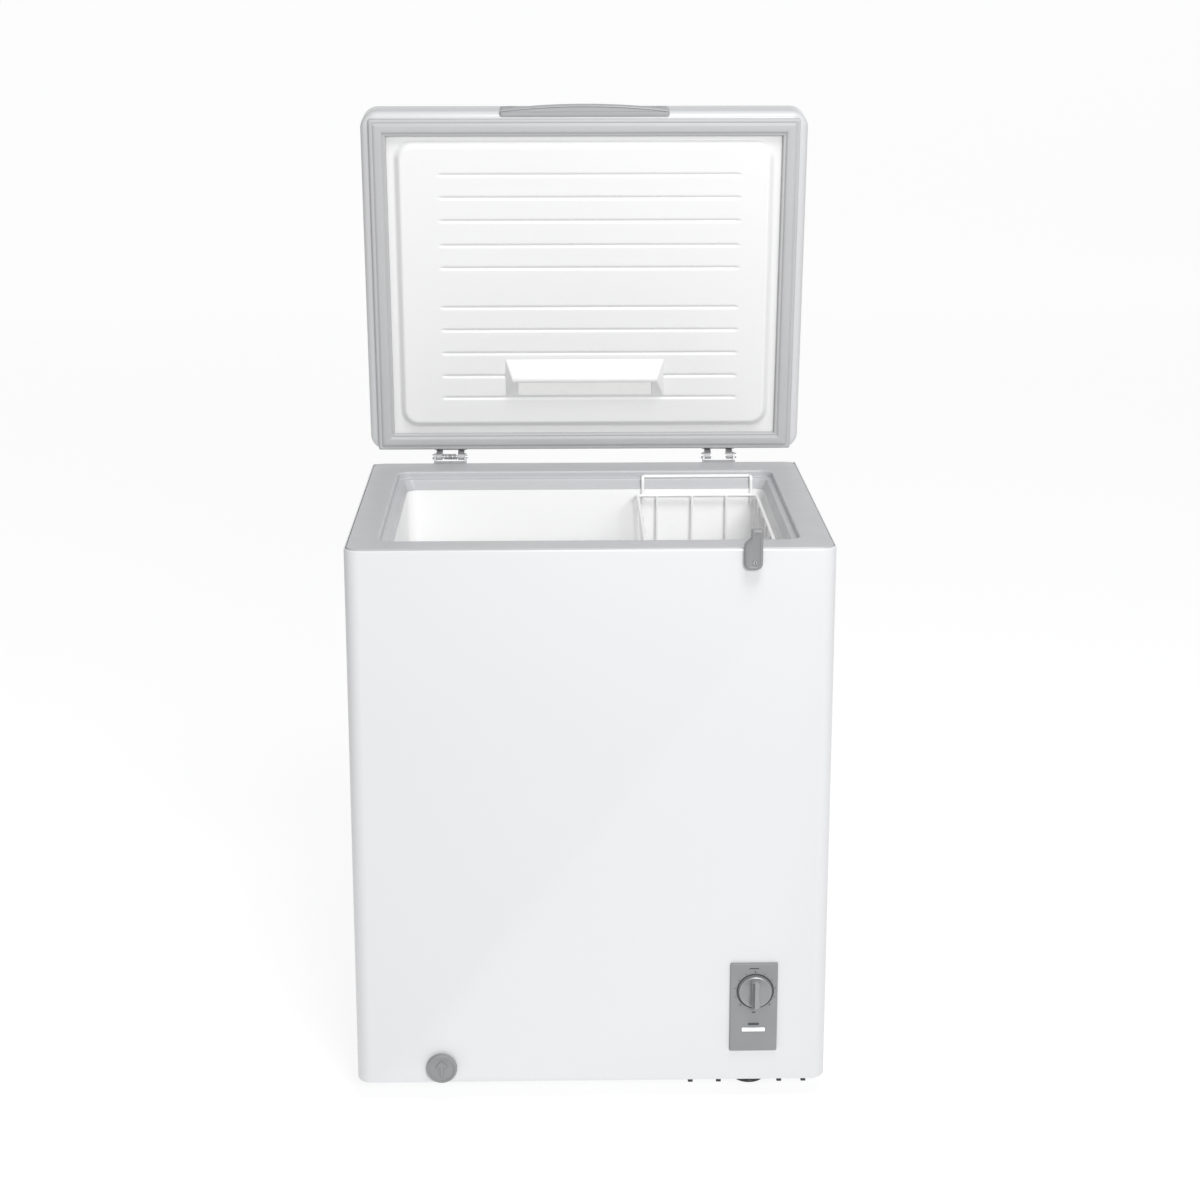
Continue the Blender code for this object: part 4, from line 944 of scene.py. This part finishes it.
def make_lid_liner():
    """The moulded inner sheet: a raised middle with soft edges and ten shallow grooves across it."""
    flange_z, plateau_z = LID_LINER_HIGH.z - 0.0015, LID_LINER_LOW.z
    x0, x1, y0, y1 = -0.2715, 0.2715, FRONT + 0.0435, FRONT + 0.4705
    from_back = (0.0862, 0.1196, 0.1543, 0.1893, 0.2234, 0.2821, 0.3155, 0.3515, 0.3851, 0.4183)
    grooves = [LID_HIGH.y - s for s in from_back]
    groove_x = (-0.207, 0.222)
    depth, width = 0.0019, 0.0019

    def place(x, y):
        rise = smooth_step(inside_distance(x, y, x0, x1, y0, y1, 0.027), -0.0010, 0.0100)
        along = smooth_step(x, groove_x[0] - 0.004, groove_x[0] + 0.006)
        along *= 1 - smooth_step(x, groove_x[1] - 0.006, groove_x[1] + 0.004)
        cut = max(math.exp(-(((y - g) / width) ** 2)) for g in grooves)
        z = flange_z + (plateau_z - flange_z) * rise + depth * cut * along
        return Vector((x, y, z)), Vector((0, 0, 1))

    edge_x = [(x, 0.014, 0.0015) for x in (x0 + 0.004, x1 - 0.004)]
    corner_x = [(x0 + 0.018, 0.010, 0.0025), (x1 - 0.018, 0.010, 0.0025)]
    ends_x = [(x, 0.009, 0.0015) for x in groove_x]
    xs = graded(LID_LINER_LOW.x, LID_LINER_HIGH.x, 0.02, corner_x + edge_x + ends_x)
    edge_y = [(y, 0.014, 0.0015) for y in (y0 + 0.004, y1 - 0.004)]
    corner_y = [(y0 + 0.018, 0.010, 0.0025), (y1 - 0.018, 0.010, 0.0025)]
    lines_y = [(g, 0.0051, 0.00060) for g in grooves]
    ys = graded(LID_LINER_LOW.y, LID_LINER_HIGH.y, 0.02, corner_y + edge_y + lines_y)
    sheet = sheet_grid(xs, ys, place, 0.0013)
    looks = {"slot": "white_plastic", "sharp": 50, "lid": True}
    piece("lid_inner_sheet", sheet, "lid_plastic", "lid", ["lid_liner"], **looks)


def make_gasket():
    """A hollow seal with an outer lip, a magnet strip and an inner lip, mitred at its corners."""
    high, low = GASKET_HIGH.z, GASKET_LOW.z
    band = 0.024
    section = [
        (0.0000, high), (0.0000, low + 0.0050), (0.0004, low + 0.0036), (0.0014, low + 0.0026),
        (0.0030, low + 0.0022), (0.0044, low + 0.0025), (0.0052, low + 0.0030), (0.0060, low + 0.0024),
        (0.0070, low + 0.0010), (0.0082, low + 0.0002), (0.0098, low), (band - 0.0080, low),
        (band - 0.0064, low + 0.0003), (band - 0.0052, low + 0.0012), (band - 0.0044, low + 0.0028),
        (band - 0.0036, low + 0.0034), (band - 0.0026, low + 0.0030), (band - 0.0014, low + 0.0030),
        (band - 0.0004, low + 0.0038), (band, low + 0.0052), (band, high),
    ]
    loops = []
    for inset, z in section:
        x, y0, y1 = GASKET_HIGH.x - inset, GASKET_LOW.y + inset, GASKET_HIGH.y - inset
        chamfer = 0.0022 * (1 - inset / band)
        corners = []
        for cx, cy, sx, sy in ((x, y0, 1, -1), (x, y1, 1, 1), (-x, y1, -1, 1), (-x, y0, -1, -1)):
            first = Vector((cx, cy - sy * chamfer, z)) if sx * sy > 0 else Vector((cx - sx * chamfer, cy, z))
            last = Vector((cx - sx * chamfer, cy, z)) if sx * sy > 0 else Vector((cx, cy - sy * chamfer, z))
            corners += [first, Vector((cx - sx * chamfer * 0.29, cy - sy * chamfer * 0.29, z)), last]
        loops.append(corners)
    ring_shape = skin(loops, ring=True)
    bmesh.ops.remove_doubles(ring_shape, verts=ring_shape.verts[:], dist=1e-6)
    piece("lid_seal", ring_shape, "gasket", "lid", ["lid_gasket"], sharp=38, lid=True)


def underside_groove(middle, half_w, depth, floor):
    """Profile points of a groove cut upwards into a face that looks down."""
    return [(middle + half_w, floor), (middle, floor + depth), (middle - half_w, floor)]


def make_handle():
    """A lip along the lid's front edge that hugs its rolled corner, with two shallow grooves beneath."""
    low, high = closed_box("lid_handle")
    half, inner, reach = high.x, high.y, low.y
    ends = LID_LOW.y - 0.0026
    axis = (LID_LOW.y + LID_ROLL, LID_LOW.z + LID_ROLL)
    gap = 0.0003
    steps = 64

    def section(x):
        t = x / half
        close = smooth_step(1 - abs(t), 0.0, 0.030)
        front = ends + (reach - ends) * (1 - t * t) + 0.0016 * (1 - close)
        floor = low.z + 0.0020 * (1 - close) ** 2
        points = [(inner, floor + 0.0007), (inner - 0.0004, floor + 0.0002), (inner - 0.0010, floor)]
        points += underside_groove(LID_LOW.y - 0.0002, 0.0007, 0.0007 * close, floor)
        points += underside_groove(front + 0.0021, 0.0006, 0.0013 * close, floor)
        points += [(front + 0.0010, floor), (front + 0.0003, floor + 0.0003), (front, floor + 0.0012)]
        points += [(front, axis[1]), (front + 0.0012, axis[1] + 0.008)]
        crest = LID_LOW.y - gap - 0.0035 + 0.0015 * (1 - close)
        points += [(crest, high.z - 0.0016), (crest + 0.0005, high.z - 0.0004), (crest + 0.0014, high.z)]
        points.append((LID_LOW.y - gap, high.z - 0.0002))
        r = LID_ROLL + gap
        for i in range(7):
            a = math.radians(10 * i)
            points.append((axis[0] - r * math.cos(a), axis[1] - r * math.sin(a)))
        return [Vector((x, y, z)) for y, z in points]

    spots = [-half * math.cos(math.pi * i / steps) for i in range(steps + 1)]
    grip = skin([section(x) for x in spots])
    piece("lid_grip", grip, "handle_grey", "lid", ["lid_handle"], slot="grey_plastic", sharp=30, lid=True)


def make_lamp():
    """The lamp's wedge below the lid's inner sheet, with a frosted window in its rear slope."""
    low, high = closed_box("lamp_housing")
    ridge = (low.y + high.y) / 2
    lens_low, lens_high = closed_box("lamp_lens")
    base = [(low.x, low.y), (high.x, low.y), (high.x, high.y), (low.x, high.y)]
    crest = [(low.x + 0.010, ridge - 0.002), (high.x - 0.010, ridge - 0.002)]
    crest += [(high.x - 0.010, ridge + 0.002), (low.x + 0.010, ridge + 0.002)]
    wedge = skin([[Vector((x, y, high.z)) for x, y in base], [Vector((x, y, low.z)) for x, y in crest]])
    round_edges = [e for e in wedge.edges if min(v.co.z for v in e.verts) < high.z - 0.001]
    bmesh.ops.bevel(wedge, geom=round_edges, offset=0.0016, segments=4, profile=0.5, affect="EDGES")
    pocket = block(
        lens_low.x - 0.0004, lens_high.x + 0.0004, lens_low.y - 0.0004, high.y + 0.01,
        low.z - 0.01, high.z - 0.0012,
    )
    wedge = boolean(wedge, pocket)
    piece("lamp_wedge", wedge, "lid_plastic", "lid", ["lamp_housing"], slot="white_plastic", lid=True)
    y0, y1 = lens_low.y, lens_high.y
    ribs = 12
    face = []
    for i in range(ribs * 2 + 1):
        t = i / (ribs * 2)
        ripple = 0.00018 if i % 2 else 0.0
        face.append((y0 + (y1 - y0) * t, lens_low.z + (lens_high.z - 0.0004 - lens_low.z) * t + ripple))
    outline = face + [(y1 - 0.004, lens_high.z), (y0, lens_low.z + 0.0026)]
    window = prism_x(outline, lens_low.x, lens_high.x)
    piece("lamp_window", window, "lens", "lid", ["lamp_lens"], sharp=25, lid=True)


# Hinges


def make_hinges():
    plate = 0.0021
    for side in ("left", "right"):
        refine(f"hinge_base_{side}", "hinge_steel", 0.00035)
        refine(f"hinge_arm_{side}", "hinge_steel", 0.00035)
        low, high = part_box(f"hinge_base_{side}")
        middle = (low.x + high.x) / 2
        holes = ((-0.014, 0.020), (0.014, 0.020), (0, 0.036))
        spots = [(middle + dx, BACK + plate, RIM - dz) for dx, dz in holes]
        screws(f"hinge_base_screws_{side}", 0.0034, spots, FACE_BACK, "cabinet")
        leaf = closed_box(f"hinge_arm_{side}")[1].z - 0.014
        holes = ((-0.015, 0.003), (0.015, 0.003), (0, 0.008))
        spots = [(middle + dx, BACK + plate, leaf + dz) for dx, dz in holes]
        screws(f"hinge_arm_screws_{side}", 0.0034, spots, FACE_BACK, "lid", lid=True)
    for node in ("hinge_pin_left", "hinge_pin_right_inner", "hinge_pin_right_outer"):
        refine(node, "bare_steel")
    low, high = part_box("hinge_spring_left")
    wire = 0.0009
    radius = (high.z - low.z) / 2 - wire
    turns, steps = 8, 20
    x0, x1 = low.x + wire, high.x - wire
    route = []
    for i in range(turns * steps + 1):
        a = 2 * math.pi * i / steps
        x = x0 + (x1 - x0) * i / (turns * steps)
        route.append((x, HINGE.y + radius * math.cos(a), HINGE.z + radius * math.sin(a)))
    coil = swept(route, wire, 8)
    piece("lid_spring", coil, "bare_steel", "cabinet", ["hinge_spring_left"])


# Basket


def basket_ring(z, inset, radius, r):
    low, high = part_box("basket")
    limits = (low.x + inset, high.x - inset, low.y + inset, high.y - inset)
    return swept(rounded(*limits, r, z, 6), radius, 12, closed=True)


def make_basket():
    """Welded and coated wire: a heavy top ring, U-shaped wires both ways, a foot ring and two bails."""
    low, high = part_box("basket")
    ring_r, wire_r = 0.0025, 0.0015
    top_z, foot_z = high.z - ring_r, low.z + wire_r
    taper = 0.0065
    parts = [basket_ring(top_z, ring_r, ring_r, 0.012)]
    parts.append(basket_ring(low.z + 0.030, taper * 0.82 + wire_r, wire_r, 0.010))
    inset = ring_r + 0.0024
    for x in (0.1040, 0.1550, 0.2050):
        route = [(x, low.y + inset, top_z), (x, low.y + inset + taper, foot_z)]
        route += [(x, high.y - inset - taper, foot_z), (x, high.y - inset, top_z)]
        parts.append(swept(filleted(route, 0.012), wire_r, 10))
    count = 7
    for n in range(count):
        y = low.y + 0.020 + (high.y - low.y - 0.040) * n / (count - 1)
        lift = foot_z + 2 * wire_r
        route = [(low.x + inset, y, top_z), (low.x + inset + taper, y, lift)]
        route += [(high.x - inset - taper, y, lift), (high.x - inset, y, top_z)]
        parts.append(swept(filleted(route, 0.012), wire_r, 10))
    piece("wire_basket", joined(parts), "coated_wire", "basket", ["basket"], sharp=60)
    bail_r = 0.0025
    for end in ("front", "back"):
        node = f"basket_bail_{end}"
        b_low, b_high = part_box(node)
        rail_y = b_low.y + bail_r if end == "front" else b_high.y - bail_r
        riser_y = b_high.y - bail_r if end == "front" else b_low.y + bail_r
        x0, x1, rail_z = b_low.x + bail_r, b_high.x - bail_r, b_high.z - bail_r
        foot = top_z - 0.012
        route = [(x0, riser_y, foot), (x0, riser_y, rail_z), (x0, rail_y, rail_z), (x1, rail_y, rail_z)]
        route += [(x1, riser_y, rail_z), (x1, riser_y, foot)]
        wire = swept(filleted(route, 0.0045), bail_r, 14)
        piece(f"carry_bail_{end}", wire, "coated_wire", "basket", [node])


def make_kept_nodes():
    """CAD nodes whose shape is right: they take their finish and softened edges."""
    refine("floor_pan", "galvanised")
    refine("compressor_tray", "galvanised", 0.0004)
    refine("compressor_base", "bare_steel", 0.0004)
    for node in ("cabinet_foam", "lid_foam"):
        refine(node, "foam")
    refine("evaporator_coil", "coil_aluminium")
    refine("condenser_coil", "coil_steel")
    for n in range(1, 5):
        refine(f"grommet_{n}", "rubber")
    refine("relay_cover", "black_plastic", 0.0012, 3)
    refine("cord_gland", "black_plastic", 0.0004)
    for node in ("filter_drier", "discharge_pipe", "suction_pipe", "sensor_tube"):
        refine(node, "copper")
    refine("thermostat_body", "beige_plastic", 0.0012, 3)
    refine("knob_shaft", "bare_steel", 0.0003)
    for node in ("drain_sleeve", "drain_riser", "drain_spout"):
        refine(node, "white_plastic", 0.0003)
    refine("drain_plug", "rubber_grey", 0.0004)
    refine("lamp_board", "board", 0.0002)


# Stage, light and camera


def make_stage():
    """A pale floor that runs up into a low wall all round, with a painted glow that is brightest behind and
    below the object.
    """
    flat, bend, tall, sides = 8.0, 2.5, 4.0, 96
    line = [(0.5, 0.0), (flat, 0.0)]
    for i in range(1, 13):
        a = math.radians(90 * i / 12)
        line.append((flat + bend * math.sin(a), bend - bend * math.cos(a)))
    line.append((flat + bend, tall))
    points = [(0.0, 0.0, 0.0)]
    for r, z in line:
        turns = [2 * math.pi * n / sides for n in range(sides)]
        points += [(r * math.cos(a), r * math.sin(a), z) for a in turns]
    faces = [(0, 1 + n, 1 + (n + 1) % sides) for n in range(sides)]
    for ring in range(len(line) - 1):
        low, high = 1 + ring * sides, 1 + (ring + 1) * sides
        faces += [(low + n, high + n, high + (n + 1) % sides, low + (n + 1) % sides) for n in range(sides)]
    mesh = bpy.data.meshes.new("studio_floor")
    mesh.from_pydata(points, [], faces)
    mesh.shade_smooth()
    surface = material("studio_paper", (0.22, 0.22, 0.222), 0.9, 0.004, 2.0, 0.02)
    tree = surface.node_tree
    shader = tree.nodes["Principled BSDF"]
    shader.inputs["Specular IOR Level"].default_value = 0.1
    shader.inputs["Emission Color"].default_value = (1, 1, 1, 1)
    here = tree.nodes.new("ShaderNodeTexCoord").outputs["Object"]
    place = node_value(tree, "ShaderNodeSeparateXYZ", {"Vector": here})
    aside = calculated(tree, "ABSOLUTE", place.outputs["X"])
    wide = calculated(tree, "MULTIPLY_ADD", place.outputs["Y"], -0.30, aside)
    ahead = calculated(tree, "MULTIPLY", place.outputs["Y"], -1.7)
    away = calculated(tree, "MAXIMUM", wide, ahead)
    # The floor's glow fades away from the object: a painted pool of light.
    glow = {"Value": away, "From Min": 1.1, "From Max": 3.4, "To Min": 0.84, "To Max": 0.46}
    ranged = node_value(tree, "ShaderNodeMapRange", glow, interpolation_type="SMOOTHSTEP")
    tree.links.new(ranged.outputs["Result"], shader.inputs["Emission Strength"])
    surface.cycles.emission_sampling = "NONE"
    mesh.materials.append(surface)
    placed("studio_floor", mesh)


def area_light(name, place, aim, size, power, color=(1, 1, 1)):
    light = bpy.data.lights.new(name, "AREA")
    light.shape = "RECTANGLE"
    light.size, light.size_y = size
    light.energy = power
    light.color = color
    obj = placed(name, light)
    obj.location = place
    obj.rotation_mode = "QUATERNION"
    obj.rotation_quaternion = (Vector(aim) - Vector(place)).to_track_quat("-Z", "Y")


def make_light():
    """A white surround that darkens to both sides, most to the left, and a soft key high in front."""
    world = bpy.data.worlds.new("surround")
    world.use_nodes = True
    tree = world.node_tree
    toward = tree.nodes.new("ShaderNodeTexCoord").outputs["Generated"]
    way = node_value(tree, "ShaderNodeSeparateXYZ", {"Vector": toward})
    spread_x = {"Value": way.outputs["X"], "From Min": -1.0, "From Max": 1.0, "To Min": 0.0, "To Max": 1.0}
    across = node_value(tree, "ShaderNodeMapRange", spread_x).outputs["Result"]
    ramp = tree.nodes.new("ShaderNodeValToRGB")
    ramp.color_ramp.interpolation = "EASE"
    levels = ((0.0, 0.30), (0.16, 0.42), (0.40, 0.90), (0.60, 1.0), (0.82, 0.82), (1.0, 0.48))
    while len(ramp.color_ramp.elements) < len(levels):
        ramp.color_ramp.elements.new(0.5)
    for element, (position, level) in zip(ramp.color_ramp.elements, levels):
        element.position = position
        element.color = (level * 0.985, level * 0.992, level, 1.0)
    tree.links.new(across, ramp.inputs["Fac"])
    tree.links.new(ramp.outputs["Color"], tree.nodes["Background"].inputs["Color"])
    tree.nodes["Background"].inputs["Strength"].default_value = 0.50
    bpy.context.scene.world = world
    area_light("key_front", (1.05, -4.4, 2.3), (0.0, 0.1, 0.95), (1.4, 1.1), 119.0)
    area_light("key_top", (0.4, -1.2, 3.4), (0.0, 0.0, 0.75), (1.2, 0.9), 44.0)


def make_camera():
    """At the height and distance of the picture, looking a little down."""
    camera = bpy.data.cameras.new("camera")
    camera.sensor_width = 36.0
    camera.lens = 67.35
    camera.shift_y = -0.07
    obj = placed("camera", camera)
    obj.location = (-0.049, FRONT - 2.7545, RIM + 0.724)
    pitch, yaw = math.radians(13.886), math.radians(1.261)
    aim = Vector((math.sin(yaw) * math.cos(pitch), math.cos(yaw) * math.cos(pitch), -math.sin(pitch)))
    obj.rotation_mode = "QUATERNION"
    obj.rotation_quaternion = aim.to_track_quat("-Z", "Y")
    bpy.context.scene.camera = obj
    bpy.context.scene.view_settings.view_transform = "Standard"


MATERIALS = make_materials()
make_camera()
make_light()
make_stage()
make_wrapper()
make_back_panel()
make_top_frame()
make_liner()
make_side_grille()
make_machine_cover()
make_feet()
make_floor_tabs()
make_compressor()
make_control_panel()
make_knob()
make_lock()
make_drain_cap()
make_lid_shell()
make_lid_liner()
make_gasket()
make_handle()
make_lamp()
make_hinges()
make_basket()
make_kept_nodes()
